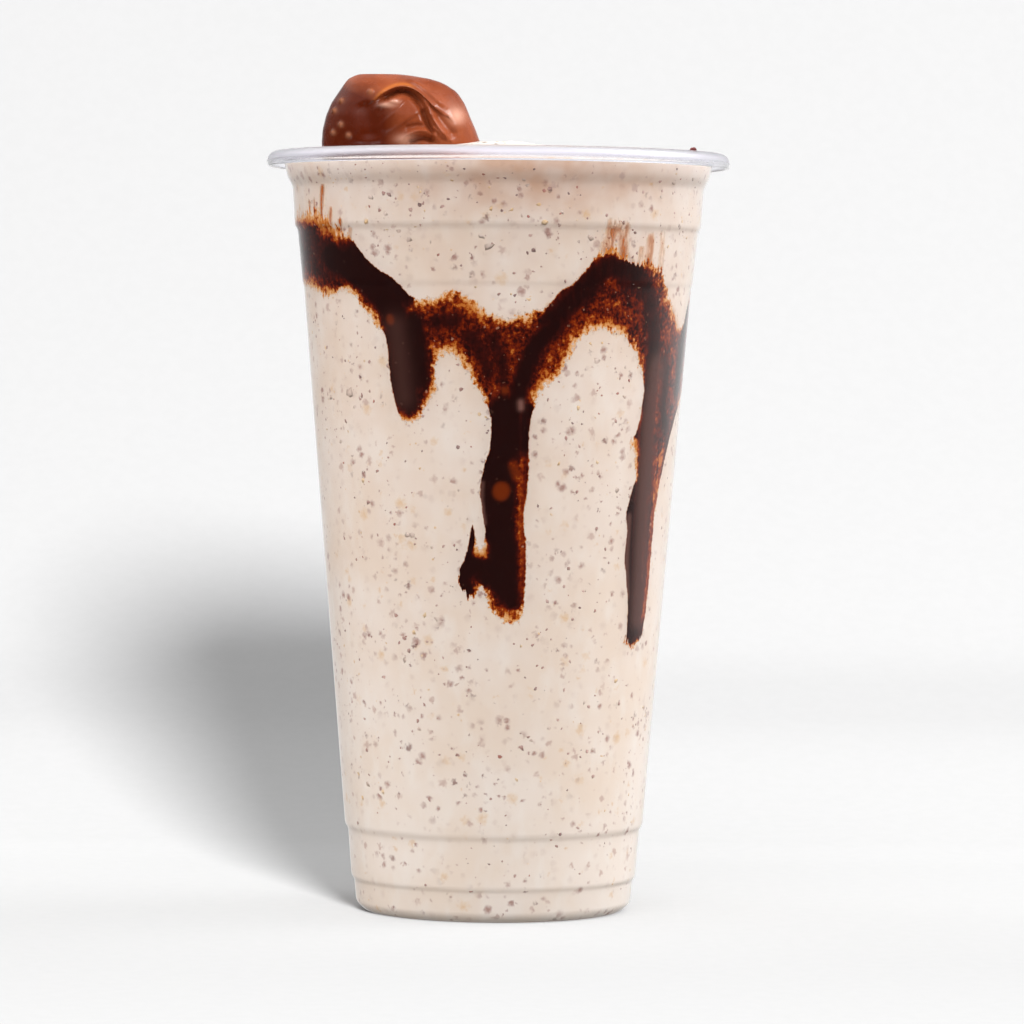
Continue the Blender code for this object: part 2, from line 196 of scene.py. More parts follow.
class Graph:
    """Adds and joins the nodes of one material or node group."""

    def __init__(self, tree: bpy.types.NodeTree) -> None:
        """Takes the tree that it adds to."""
        self.tree = tree

    def feed(self, node: bpy.types.Node, inputs: dict[Any, Any]) -> None:
        """Links a node's inputs to the sockets that feed them, or gives them their values.

        Args:
            node: The node.
            inputs: Socket names or numbers, each with a socket, a number, a vector or a colour.
        """
        for key, value in inputs.items():
            socket = node.inputs[key]
            if isinstance(value, bpy.types.NodeSocket):
                self.tree.links.new(value, socket)
            else:
                socket.default_value = (*value, 1) if socket.type == "RGBA" else value

    def add(self, kind: str, inputs: dict[Any, Any] | None = None, **settings: Any) -> bpy.types.Node:
        """Adds a node.

        Args:
            kind: The node's type without "ShaderNode".
            inputs: What feeds its inputs.
            **settings: The node's own options.

        Returns:
            The new node.
        """
        node = self.tree.nodes.new(f"ShaderNode{kind}")
        for key, value in settings.items():
            setattr(node, key, value)
        self.feed(node, inputs or {})
        return node

    def math(self, operation: str, *values: Any, clamp: bool = False) -> bpy.types.NodeSocket:
        """Returns the result of a Math node."""
        node = self.add("Math", dict(enumerate(values)), operation=operation, use_clamp=clamp)
        return node.outputs[0]

    def plus(self, first: Any, *others: Any) -> Any:
        """Returns the sum of the values."""
        for value in others:
            first = self.math("ADD", first, value)
        return first

    def times(self, first: Any, *others: Any) -> Any:
        """Returns the product of the values."""
        for value in others:
            first = self.math("MULTIPLY", first, value)
        return first

    def minus(self, first: Any, second: Any) -> bpy.types.NodeSocket:
        """Returns the first value less the second."""
        return self.math("SUBTRACT", first, second)

    def vector(self, operation: str, first: Any, second: Any) -> bpy.types.NodeSocket:
        """Returns the result of a Vector Math node."""
        second_input = "Scale" if operation == "SCALE" else 1
        return self.add("VectorMath", {0: first, second_input: second}, operation=operation).outputs[0]

    def span(
        self, value: Any, low: float, high: float, start: float = 0, end: float = 1,
    ) -> bpy.types.NodeSocket:
        """Returns a value taken smoothly from low..high to start..end."""
        inputs = {"Value": value, "From Min": low, "From Max": high, "To Min": start, "To Max": end}
        return self.add("MapRange", inputs, interpolation_type="SMOOTHSTEP").outputs["Result"]

    def blend(self, share: Any, first: Any, second: Any) -> bpy.types.NodeSocket:
        """Returns two colours mixed, the second one by the share."""
        node = self.add("Mix", {"Factor": share}, data_type="RGBA")
        places = {entry.identifier: number for number, entry in enumerate(node.inputs)}
        self.feed(node, {places["A_Color"]: first, places["B_Color"]: second})
        return next(entry for entry in node.outputs if entry.identifier == "Result_Color")

    def ramp(self, value: Any, stops: Sequence[tuple[float, Colour]]) -> bpy.types.NodeSocket:
        """Returns the colour of a ramp at a value, its stops as (place, colour)."""
        node = self.add("ValToRGB", {"Fac": value})
        while len(node.color_ramp.elements) < len(stops):
            node.color_ramp.elements.new(1)
        for element, (place, colour) in zip(node.color_ramp.elements, stops):
            element.position = place
            element.color = (*colour, 1)
        return node.outputs["Color"]

    def object_place(self, upright: float = 1) -> bpy.types.NodeSocket:
        """Returns the place on the piece, its height multiplied so that a pattern can run upright."""
        place = self.add("TexCoord").outputs["Object"]
        if upright == 1:
            return place
        return self.add("Mapping", {"Vector": place, "Scale": (1, 1, upright)}).outputs["Vector"]

    def grain(
        self, place: Any, scale: float, detail: float = 2, roughness: float = 0.5,
    ) -> bpy.types.NodeSocket:
        """Returns a noise value of 0 to 1, its scale in bumps per metre."""
        inputs = {"Vector": place, "Scale": scale, "Detail": detail, "Roughness": roughness}
        return self.add("TexNoise", inputs).outputs["Fac"]

    def bump(self, height: Any, strength: float, distance: float) -> bpy.types.NodeSocket:
        """Returns the normal of a bumpy surface."""
        inputs = {"Height": height, "Strength": strength, "Distance": distance}
        return self.add("Bump", inputs).outputs["Normal"]

    def stored(self, name: str) -> bpy.types.NodeSocket:
        """Returns the number that the piece's points keep under this name."""
        return self.add("Attribute", attribute_name=name).outputs["Fac"]


def new_material(name: str) -> tuple[bpy.types.Material, Graph, bpy.types.Node]:
    """Returns a new material with its graph and its Principled shader."""
    material = bpy.data.materials.new(name)
    material.use_nodes = True
    return material, Graph(material.node_tree), material.node_tree.nodes["Principled BSDF"]


def clear_where(graph: Graph, shader: bpy.types.Node, share: Any, tint: Colour = (1, 1, 1)) -> None:
    """Lets light straight through a material.

    Args:
        graph: The material's graph.
        shader: Its shader.
        share: Where it is clear.
        tint: The colour that it gives to the light.
    """
    clear = graph.add("BsdfTransparent", {"Color": tint})
    mixed = graph.add("MixShader", {0: share, 1: shader.outputs[0], 2: clear.outputs[0]})
    graph.feed(graph.tree.nodes["Material Output"], {"Surface": mixed.outputs[0]})


@dataclass(frozen=True)
class FleckPattern:
    """The form that all flecks share, as a node group that each finish places with its own values."""

    name: str = "flecks"
    wobble_per_metre: float = 1400
    wobble_reach: float = 0.55
    least_size: float = 0.35
    size_power: float = 2

    def new_tree(self) -> bpy.types.NodeTree:
        """Returns an empty group with its inputs and its output."""
        tree = bpy.data.node_groups.new(self.name, "ShaderNodeTree")
        tree.interface.new_socket("Place", in_out="INPUT", socket_type="NodeSocketVector")
        for name in ("Per Metre", "Share", "Size", "Softness", "Seed"):
            tree.interface.new_socket(name, in_out="INPUT", socket_type="NodeSocketFloat")
        tree.interface.new_socket("Mask", in_out="OUTPUT", socket_type="NodeSocketFloat")
        return tree

    def group(self) -> bpy.types.NodeTree:
        """Returns the group, made once.

        Its Mask is 1 inside a fleck. Share is the part of the cells that hold one, Size its radius against a
        cell's and Softness how far its edge fades.
        """
        known = bpy.data.node_groups.get(self.name)
        if known:
            return known
        graph = Graph(self.new_tree())
        given = graph.tree.nodes.new("NodeGroupInput").outputs
        shift = graph.add("CombineXYZ", {number: given["Seed"] for number in range(3)}).outputs[0]
        place = graph.vector("ADD", given["Place"], shift)
        inputs = {"Vector": place, "Scale": self.wobble_per_metre, "Detail": 1}
        wobble = graph.vector("SUBTRACT", graph.add("TexNoise", inputs).outputs["Color"], (0.5, 0.5, 0.5))
        reach = graph.math("DIVIDE", self.wobble_reach, given["Per Metre"])
        place = graph.vector("ADD", place, graph.vector("SCALE", wobble, reach))
        cells = graph.add("TexVoronoi", {"Vector": place, "Scale": given["Per Metre"]}).outputs
        chance = graph.add("SeparateColor", {0: cells["Color"]}).outputs
        held = graph.math("LESS_THAN", chance[0], given["Share"])
        varied = graph.plus(self.least_size, graph.math("POWER", chance[1], self.size_power))
        radius = graph.times(given["Size"], varied)
        inner = graph.times(radius, graph.minus(1, given["Softness"]))
        near = graph.add("MapRange", {"Value": cells["Distance"], "From Min": radius, "From Max": inner})
        result = graph.tree.nodes.new("NodeGroupOutput")
        graph.feed(result, {"Mask": graph.times(near.outputs["Result"], held)})
        return graph.tree


@dataclass(frozen=True)
class FleckLayer:
    """One layer of flecks: its colour and strength, and what it gives to the pattern's group."""

    colour: Colour
    strength: float
    per_metre: float
    share: float
    size: float
    softness: float
    seed: int
    clustered: bool = False

    def mask(self, graph: Graph, place: Any) -> bpy.types.NodeSocket:
        """Returns where the layer's flecks lie."""
        return graph.add("Group", {
            "Place": place,
            "Per Metre": self.per_metre,
            "Share": self.share,
            "Size": self.size,
            "Softness": self.softness,
            "Seed": self.seed,
        }, node_tree=FleckPattern().group()).outputs["Mask"]


@dataclass(frozen=True)
class ClearPlastic:
    """Clear glossy plastic that lets the light through to what it holds, hazier at the rim and tinted lilac
    there as a painted reflection of the room.
    """

    tint: Colour = (0.975, 0.975, 0.988)
    # lilac tint at the rim: a painted reflection of the room
    rim_reflection_tint: Colour = (0.915, 0.905, 0.975)
    rim_haze: float = 0.3
    rim_starts: float = 0.1532
    rim_full: float = 0.1545
    roughness: float = 0.035
    refraction: float = 1.46
    waves_per_metre: float = 45
    wave_length: float = 0.35
    wave_height: float = 0.02 * MM
    wave_strength: float = 0.6

    def make(self) -> bpy.types.Material:
        """Returns the material."""
        material, graph, shader = new_material("clear_plastic_wall")
        wave = graph.grain(graph.object_place(self.wave_length), self.waves_per_metre, 1)
        height = graph.add("SeparateXYZ", {0: graph.object_place()}).outputs["Z"]
        rim = graph.span(height, self.rim_starts, self.rim_full)
        graph.feed(shader, {
            "Base Color": graph.blend(rim, self.tint, self.rim_reflection_tint),
            "Roughness": graph.plus(self.roughness, graph.times(rim, self.rim_haze)),
            "IOR": self.refraction,
            "Transmission Weight": 1.0,
            "Metallic": 0.0,
            "Normal": graph.bump(wave, self.wave_strength, self.wave_height),
        })
        clear_where(graph, shader, graph.add("LightPath").outputs["Is Shadow Ray"], self.tint)
        return material


@dataclass(frozen=True)
class MilkshakeFinish:
    """Thick cream-coloured drink with fine crumbs ground into it. Noises are given in bumps per metre.

    The drink's points keep the strengths of two colours: a painted shade under the rim mixed with a warmer
    tone towards the top, and painted light that makes the top paler.
    """

    cream: Colour = (0.812, 0.726, 0.648)
    warm: Colour = (0.787, 0.678, 0.578)
    pale: Colour = (0.842, 0.792, 0.732)
    # painted shade under the rim, also the warmer tone towards the top
    rim_shade_and_warmth: Colour = linear(200, 156, 124)
    # painted light: the paler top
    painted_top_light: Colour = (0.79, 0.745, 0.69)
    clouds: float = 60
    streaks: float = 260
    streak_length: float = 0.5
    streak_strength: float = 0.5
    top_light_strength: float = 0.8
    collar_patches: float = 170
    clusters: float = 130
    layers: tuple[FleckLayer, ...] = (
        FleckLayer(linear(216, 176, 122), 0.6, 300, 0.34, 0.36, 0.9, 1),
        FleckLayer(linear(196, 168, 156), 0.75, 380, 0.34, 0.33, 0.5, 3),
        FleckLayer(linear(156, 112, 103), 0.82, 540, 0.72, 0.47, 0.75, 4, clustered=True),
        FleckLayer(linear(130, 92, 86), 0.8, 340, 0.46, 0.26, 0.6, 6, clustered=True),
    )
    roughness: float = 0.42
    shine: float = 0.2
    dimples: float = 900
    dimple_strength: float = 0.35
    dimple_depth: float = 0.05 * MM

    def make(self) -> bpy.types.Material:
        """Returns the material."""
        material, graph, shader = new_material("speckled_milkshake")
        place = graph.object_place()
        cloud = graph.span(graph.grain(place, self.clouds, 3), 0.35, 0.65)
        colour = graph.blend(cloud, self.warm, self.cream)
        streak = graph.grain(graph.object_place(self.streak_length), self.streaks, 3)
        streak = graph.times(graph.span(streak, 0.45, 0.75), self.streak_strength)
        colour = graph.blend(streak, colour, self.pale)
        # Painted light: the top of the drink made paler.
        colour = graph.blend(graph.times(graph.stored("painted_top_light"), self.top_light_strength), colour, self.painted_top_light)
        uneven = graph.span(graph.grain(place, self.collar_patches, 2), 0.3, 0.7, 0.45, 0.95)
        # Painted shade under the rim, mixed with the warmer tone towards the top.
        colour = graph.blend(graph.times(graph.stored("rim_shade_and_warmth"), uneven), colour, self.rim_shade_and_warmth)
        cluster = graph.span(graph.grain(place, self.clusters, 2), 0.48, 0.6, 0.15, 1)
        for layer in self.layers:
            mask = graph.times(layer.mask(graph, place), layer.strength)
            if layer.clustered:
                mask = graph.times(mask, cluster)
            colour = graph.blend(mask, colour, layer.colour)
        dimple = graph.grain(place, self.dimples, 3)
        graph.feed(shader, {
            "Base Color": colour,
            "Roughness": self.roughness,
            "Specular IOR Level": self.shine,
            "Normal": graph.bump(dimple, self.dimple_strength, self.dimple_depth),
        })
        return material


@dataclass(frozen=True)
class SyrupFinish:
    """Chocolate syrup that is nearly black where it is deep and amber, grainy and torn where it is thin.

    The film's points keep edge_mm, which is the distance from its edge, and the strengths depth, crisp,
    feather, wisp, bubble and gleam, the last a painted sheen: the greyish reflection on the drips and a drop.
    Tones run from a stain to the deepest syrup, and noises are in bumps per metre.
    """

    tones: tuple[tuple[float, Colour], ...] = (
        (0.0, linear(226, 202, 182)),
        (0.055, linear(222, 168, 106)),
        (0.14, linear(196, 116, 46)),
        (0.29, linear(156, 62, 12)),
        (0.46, linear(116, 32, 4)),
        (0.68, linear(62, 12, 5)),
        (0.92, linear(33, 6, 4)),
    )
    bubble: Colour = linear(116, 42, 6)
    # painted sheen: the greyish reflection on the drips
    painted_sheen: Colour = linear(154, 106, 94)
    beads: FleckLayer = FleckLayer(linear(205, 150, 120), 0.55, 780, 0.42, 0.24, 0.5, 11)
    deep_beads: float = 0.05
    blotches: float = 420
    grains: float = 1350
    streaks: float = 1300
    streak_length: float = 0.2
    grain_gain: float = 1.3
    noise_roughness: float = 0.6
    least_tear_mm: float = 0.27
    tear_mm: float = 1.0
    comb_mm: float = 6.0
    crisp_fade_mm: float = 0.16
    loose_fade_mm: float = 1.2
    least_body: float = 0.15
    strands: float = 900
    strand_length: float = 0.3
    strand_body: float = 0.33
    strand_cover: float = 0.8
    edge_mm: float = 0.1
    roughness: float = 0.32
    shine: float = 0.03
    bump_strength: float = 0.25
    bump_height: float = 0.06 * MM

    def noise(self, graph: Graph, place: Any, per_metre: float, detail: float) -> bpy.types.NodeSocket:
        """Returns a noise value around 0."""
        return graph.minus(graph.grain(place, per_metre, detail, self.noise_roughness), 0.5)

    def wisps(self, graph: Graph) -> bpy.types.NodeSocket:
        """Returns how strongly the wisps above the film show."""
        place = graph.object_place(self.strand_length)
        strands = graph.grain(place, self.strands, 3, self.noise_roughness)
        return graph.times(graph.stored("wisp"), graph.span(strands, 0.26, 0.58))

    def make(self) -> bpy.types.Material:
        """Returns the material."""
        material, graph, shader = new_material("chocolate_syrup_film")
        place = graph.object_place()
        depth = graph.stored("depth")
        thin_syrup_and_lit_crest = graph.span(depth, 0.45, 0.95, 1, 0)
        loose = graph.times(thin_syrup_and_lit_crest, graph.minus(1, graph.stored("crisp")))
        blotch = self.noise(graph, place, self.blotches, 3)
        coarse = self.noise(graph, place, self.grains, 2)
        streak = self.noise(graph, graph.object_place(self.streak_length), self.streaks, 2)
        rough = graph.plus(graph.times(blotch, self.grain_gain), graph.times(coarse, self.grain_gain))
        ragged = graph.plus(graph.times(rough, 1.5), graph.times(streak, 1.2))
        tear = graph.times(ragged, graph.plus(self.least_tear_mm, graph.times(loose, self.tear_mm)))
        combed = graph.times(graph.stored("feather"), streak, self.comb_mm)
        reach = graph.plus(graph.stored("edge_mm"), graph.plus(tear, combed))
        fade_mm = graph.plus(self.crisp_fade_mm, graph.times(loose, self.loose_fade_mm))
        fade = graph.math("DIVIDE", reach, fade_mm, clamp=True)
        spread = graph.plus(graph.math("MULTIPLY_ADD", thin_syrup_and_lit_crest, 0.3, 0.1), graph.times(loose, 0.65))
        streaks = graph.times(streak, graph.plus(0.35, graph.times(thin_syrup_and_lit_crest, 0.1)))
        body = graph.plus(depth, graph.times(rough, spread), streaks)
        body = graph.times(graph.math("MAXIMUM", body, self.least_body), fade)
        wisp = self.wisps(graph)
        body = graph.math("MAXIMUM", body, graph.times(wisp, self.strand_body), clamp=True)
        colour = graph.ramp(body, self.tones)
        shown = graph.plus(self.deep_beads, graph.times(thin_syrup_and_lit_crest, self.beads.strength))
        bead = graph.times(self.beads.mask(graph, place), shown)
        colour = graph.blend(bead, colour, self.beads.colour)
        colour = graph.blend(graph.stored("bubble"), colour, self.bubble)
        # Painted sheen: greyish reflection on the drips and the drop.
        colour = graph.blend(graph.stored("painted_sheen"), colour, self.painted_sheen)
        cover = graph.math("DIVIDE", graph.plus(reach, self.edge_mm), self.edge_mm, clamp=True)
        strand_cover = graph.math("DIVIDE", graph.minus(wisp, 0.06), self.strand_cover, clamp=True)
        graph.feed(shader, {
            "Base Color": colour,
            "Roughness": self.roughness,
            "Specular IOR Level": self.shine,
            "Alpha": graph.math("MAXIMUM", cover, strand_cover),
            "Normal": graph.bump(blotch, self.bump_strength, self.bump_height),
        })
        return material


@dataclass(frozen=True)
class ChocolateFinish:
    """Satin milk chocolate with faint smears and a trace of bloom. Noises are given in bumps per metre.

    Marks are the strengths that the bonbon's points keep, each with how much it shows and its colour: painted
    shade on the left side, painted highlights, paler nut bumps and a painted orange highlight along the
    arch's crest.
    """

    brown: Colour = linear(144, 72, 42)
    dark: Colour = linear(120, 54, 28)
    pale: Colour = linear(164, 92, 62)
    marks: tuple[tuple[str, float, Colour], ...] = (
        # painted shade: darkens the bonbon's left side
        ("painted_left_shade", 0.9, linear(76, 22, 6)),
        # painted highlights on the front of the bonbon
        ("painted_highlight", 0.6, linear(232, 178, 154)),
        ("nut", 0.4, linear(206, 140, 104)),
        # painted orange highlight along the arch's crest
        ("crest_highlight", 0.45, linear(206, 120, 52)),
    )
    smears: float = 120
    smear_length: float = 0.5
    bloom_spots: float = 300
    bloom_strength: float = 0.3
    gloss_patches: float = 500
    glossiest: float = 0.15
    dullest: float = 0.32
    shine: float = 0.06
    ripples: float = 260
    pores: float = 1700
    pore_depth: float = 0.12
    bump_strength: float = 0.3
    bump_height: float = 0.2 * MM

    def make(self) -> bpy.types.Material:
        """Returns the material."""
        material, graph, shader = new_material("milk_chocolate_coat")
        place = graph.object_place()
        smear = graph.span(graph.grain(graph.object_place(self.smear_length), self.smears, 3), 0.35, 0.65)
        colour = graph.blend(smear, self.dark, self.brown)
        bloom = graph.span(graph.grain(place, self.bloom_spots, 3, 0.6), 0.55, 0.8, 0, self.bloom_strength)
        colour = graph.blend(bloom, colour, self.pale)
        for name, strength, tone in self.marks:
            colour = graph.blend(graph.times(graph.stored(name), strength), colour, tone)
        patches = graph.grain(place, self.gloss_patches, 3)
        pores = graph.times(graph.grain(place, self.pores, 2), self.pore_depth)
        height = graph.plus(graph.grain(place, self.ripples, 3), pores)
        graph.feed(shader, {
            "Base Color": colour,
            "Roughness": graph.span(patches, 0.3, 0.7, self.glossiest, self.dullest),
            "Specular IOR Level": self.shine,
            "Normal": graph.bump(height, self.bump_strength, self.bump_height),
        })
        return material


@dataclass(frozen=True)
class CrumbFinish:
    """The finish of one kind of small crumb. Noises are given in bumps per metre."""

    name: str
    first: Colour
    second: Colour
    roughness: float = 0.6
    patches: float = 420
    pits: float = 4000
    pit_strength: float = 0.4
    pit_depth: float = 0.03 * MM

    def make(self) -> bpy.types.Material:
        """Returns the material."""
        material, graph, shader = new_material(self.name)
        place = graph.object_place()
        share = graph.span(graph.grain(place, self.patches, 2), 0.35, 0.65)
        graph.feed(shader, {
            "Base Color": graph.blend(share, self.first, self.second),
            "Roughness": self.roughness,
            "Normal": graph.bump(graph.grain(place, self.pits, 2), self.pit_strength, self.pit_depth),
        })
        return material


@dataclass
class TumblerWall:
    """The tumbler: its wall as (height, outer radius) stations, its foot and its curled rim, in mm."""

    stations: tuple[Place, ...] = (
        (1.8, 28.3), (6.4, 28.7), (7.2, 29.3), (16.9, 30.05), (17.9, 30.7), (128.3, 39.8), (129.3, 40.1),
        (139.8, 41.15), (140.8, 41.75), (148.9, 42.25), (150.7, 43.3), (153.2, 43.85),
    )
    thickness: float = 0.7
    foot_inner: float = 24.4
    foot_outer: float = 26.4
    push_up: float = 1.6
    push_up_radius: float = 22.6
    rim_radius: float = 47.5
    rim_top: float = 155.9
    rim_curl: float = 1.95
    rim_tip_angle: float = -28
    inner_corner: float = 0.6
    outer_corner: float = 0.8
    sides: int = 192

    def inner_radius(self, height: Any) -> Any:
        """Returns the inner wall's radius at a height, both in mm."""
        heights, radii = zip(*self.stations)
        return np.interp(height, heights, radii) - self.thickness

    def wall_points(self, angle: Any, height: Any, inset: Any) -> np.ndarray:
        """Returns places on the wall as rows of x, y, z in metres.

        Args:
            angle: Degrees from the shown side.
            height: Millimetres from the base.
            inset: Millimetres inside the inner wall; less than 0 lies in the plastic.
        """
        turn = np.radians(angle)
        radius = self.inner_radius(height) - inset
        return np.stack([radius * np.sin(turn), -radius * np.cos(turn), height + 0 * radius], axis=-1) * MM

    def profile(self) -> list[Place]:
        """Returns the turned profile in mm: inner base, inner wall, rim, outer wall, foot and underside."""
        outer = [(radius, height) for height, radius in self.stations]
        inner = [(radius - self.thickness, height) for radius, height in outer]
        curl_centre = (self.rim_radius - self.rim_curl, self.rim_top - self.rim_curl)
        over_rim = arc(curl_centre, self.rim_curl, 180, self.rim_tip_angle, 28)
        reach, tip = self.rim_curl - self.thickness / 2, math.radians(self.rim_tip_angle)
        tip_centre = (curl_centre[0] + reach * math.cos(tip), curl_centre[1] + reach * math.sin(tip))
        lip = arc(tip_centre, self.thickness / 2, self.rim_tip_angle, self.rim_tip_angle - 180, 8)[1:-1]
        under_rim = arc(curl_centre, self.rim_curl - self.thickness, self.rim_tip_angle, 170, 20)
        underside = [
            (self.foot_outer, 0),
            (self.foot_inner, 0),
            (self.push_up_radius, self.push_up),
            (0, self.push_up),
        ]
        inner_base = [(radius, height + self.thickness) for radius, height in underside[::-1]]
        inside = round_corners([*inner_base, *inner, over_rim[0]], self.inner_corner)[:-1]
        outside = round_corners([under_rim[-1], *outer[::-1], *underside], self.outer_corner, 4)[1:]
        return [*inside, *over_rim, *lip, *under_rim, *outside]

    def build(self) -> bpy.types.Object:
        """Returns the tumbler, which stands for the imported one."""
        piece = turn_profile("tumbler", self.profile(), self.sides)
        smooth_shade(piece, 60)
        piece.data.materials.append(ClearPlastic().make())
        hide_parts("cup")
        return piece


@dataclass(frozen=True)
class Ripples:
    """The soft ripples of the drink's top, in mm: how high they are and how wide they spread."""

    fade_width: float = 6
    swirl_height: float = 0.28
    swirl_spacing: float = 5.2
    swirl_start: float = 12
    soft_height: float = 0.35
    soft_width: float = 9
    small_height: float = 0.09
    small_width: float = 2.6
    dip_depth: float = 0.8
    dip_width: float = 1.5
    dip_threshold: float = 0.42
    sink: float = 0.2

    def uneven(self, x: float, y: float, width: float, layer: float) -> float:
        """Returns a smooth noise of about -1 to 1 at a place, from one of its layers."""
        return noise.noise(Vector((x / width, y / width, layer)))

    def lift(self, x: float, y: float, edge: float) -> float:
        """Returns how far the top is raised.

        Args:
            x: The place's X.
            y: The place's Y.
            edge: The radius of the top's edge, where the ripples fade out.
        """
        radius = math.hypot(x, y)
        fade = min(1.0, max(0.0, (edge - radius) / self.fade_width))
        turn = 2 * math.atan2(y, x) - radius / self.swirl_spacing + 1.1
        swirl = math.sin(turn) * min(1.0, radius / self.swirl_start)
        soft = self.uneven(x, y, self.soft_width, 3.1)
        small = self.uneven(x, y, self.small_width, 7.7)
        dips = max(0.0, self.uneven(x, y, self.dip_width, 1.9) - self.dip_threshold)
        raised = self.swirl_height * swirl + self.soft_height * soft + self.small_height * small
        return fade * (raised - self.dip_depth * dips - self.sink)


@dataclass
class Drink:
    """The milkshake: full to the brim, its side just inside the plastic, its top a low soft crown. In mm."""

    wall: TumblerWall
    crown: tuple[Place, ...] = (
        (0, 158.6), (5, 158.4), (10.5, 157.7), (18, 156.8), (28, 155.6), (37, 154.4), (41, 153.8),
    )
    ripples: Ripples = Ripples()
    brim: float = 153.6
    into_wall: float = 0.1
    corner: float = 0.6
    sides: int = 192
    collar_starts: float = 142.6
    collar_rise: float = 4.4
    warmer_from: float = 55
    warmer_rise: float = 75
    warmest: float = 0.23
    top_light_fade: float = 1.5

    def side_radius(self, height: float) -> float:
        """Returns the radius of the drink's side at a height."""
        return float(self.wall.inner_radius(height)) + self.into_wall

    def profile(self) -> list[Place]:
        """Returns the turned profile, from the middle of the top to the middle of the underside."""
        crown = smooth_path([*self.crown, (self.side_radius(self.brim), self.brim)], 0.7)
        heights = [height for height, _ in self.wall.stations if height < self.brim]
        side = [(self.side_radius(height), height) for height in heights[::-1]]
        floor = self.wall.thickness - self.into_wall
        middle_height = self.wall.push_up + floor
        foot = [
            (self.wall.foot_outer, floor),
            (self.wall.foot_inner, floor),
            (self.wall.push_up_radius, middle_height),
        ]
        return [*map(tuple, crown), *round_corners([*side, *foot], self.corner), (0, middle_height)]

    def crown_lift(self, x: float, y: float) -> float:
        """Returns how far the ripples raise the top at a place."""
        return self.ripples.lift(x, y, self.wall.inner_radius(self.brim))

    def mark_collar(self, piece: bpy.types.Object) -> None:
        """Keeps how strongly each point takes the painted shade under the rim, strongest at the front and
        back, or the warmer tone that grows towards the top, and how strongly painted light makes the top
        paler.
        """
        x, y, z = points_of(piece).T / MM
        angle = np.degrees(np.arctan2(x, -y))
        # Painted shade under the rim, strongest at the front and back.
        band = np.clip((z - self.collar_starts) / self.collar_rise, 0, 1)
        front = np.exp(-(((angle - 10) / np.where(angle > 10, 42, 32)) ** 2))
        rear = np.exp(-(((np.abs(angle) - 165) / 40) ** 2))
        under_rim_shade = band * (0.08 + 0.82 * front + 0.4 * rear)
        higher = self.warmest * np.clip((z - self.warmer_from) / self.warmer_rise, 0, 1)
        from_wall = self.wall.inner_radius(self.brim) - np.hypot(x, y)
        # Painted light on the top, fading in from the wall.
        top = np.clip(from_wall / self.top_light_fade, 0, 1) * (z > self.brim - 1)
        store_values(piece, "rim_shade_and_warmth", np.maximum(under_rim_shade, higher) * (1 - top))
        store_values(piece, "painted_top_light", top)

    def build(self) -> bpy.types.Object:
        """Returns the drink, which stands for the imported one."""
        piece = turn_profile("milkshake_drink", self.profile(), self.sides)
        points = points_of(piece)
        for point in points:
            if point[2] > (self.brim + 0.05) * MM:
                point[2] += self.crown_lift(point[0] / MM, point[1] / MM) * MM
        move_points(piece, points)
        self.mark_collar(piece)
        smooth_shade(piece, 60)
        piece.data.materials.append(MilkshakeFinish().make())
        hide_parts("milkshake")
        return piece


@dataclass
class Stroke:
    """A mark on the wall: the places that it passes through, its half width in mm and its strength.

    The higher its power is, the crisper are its edges.
    """

    places: tuple[Place, ...]
    half_width: float
    strength: float
    power: float = 2.0


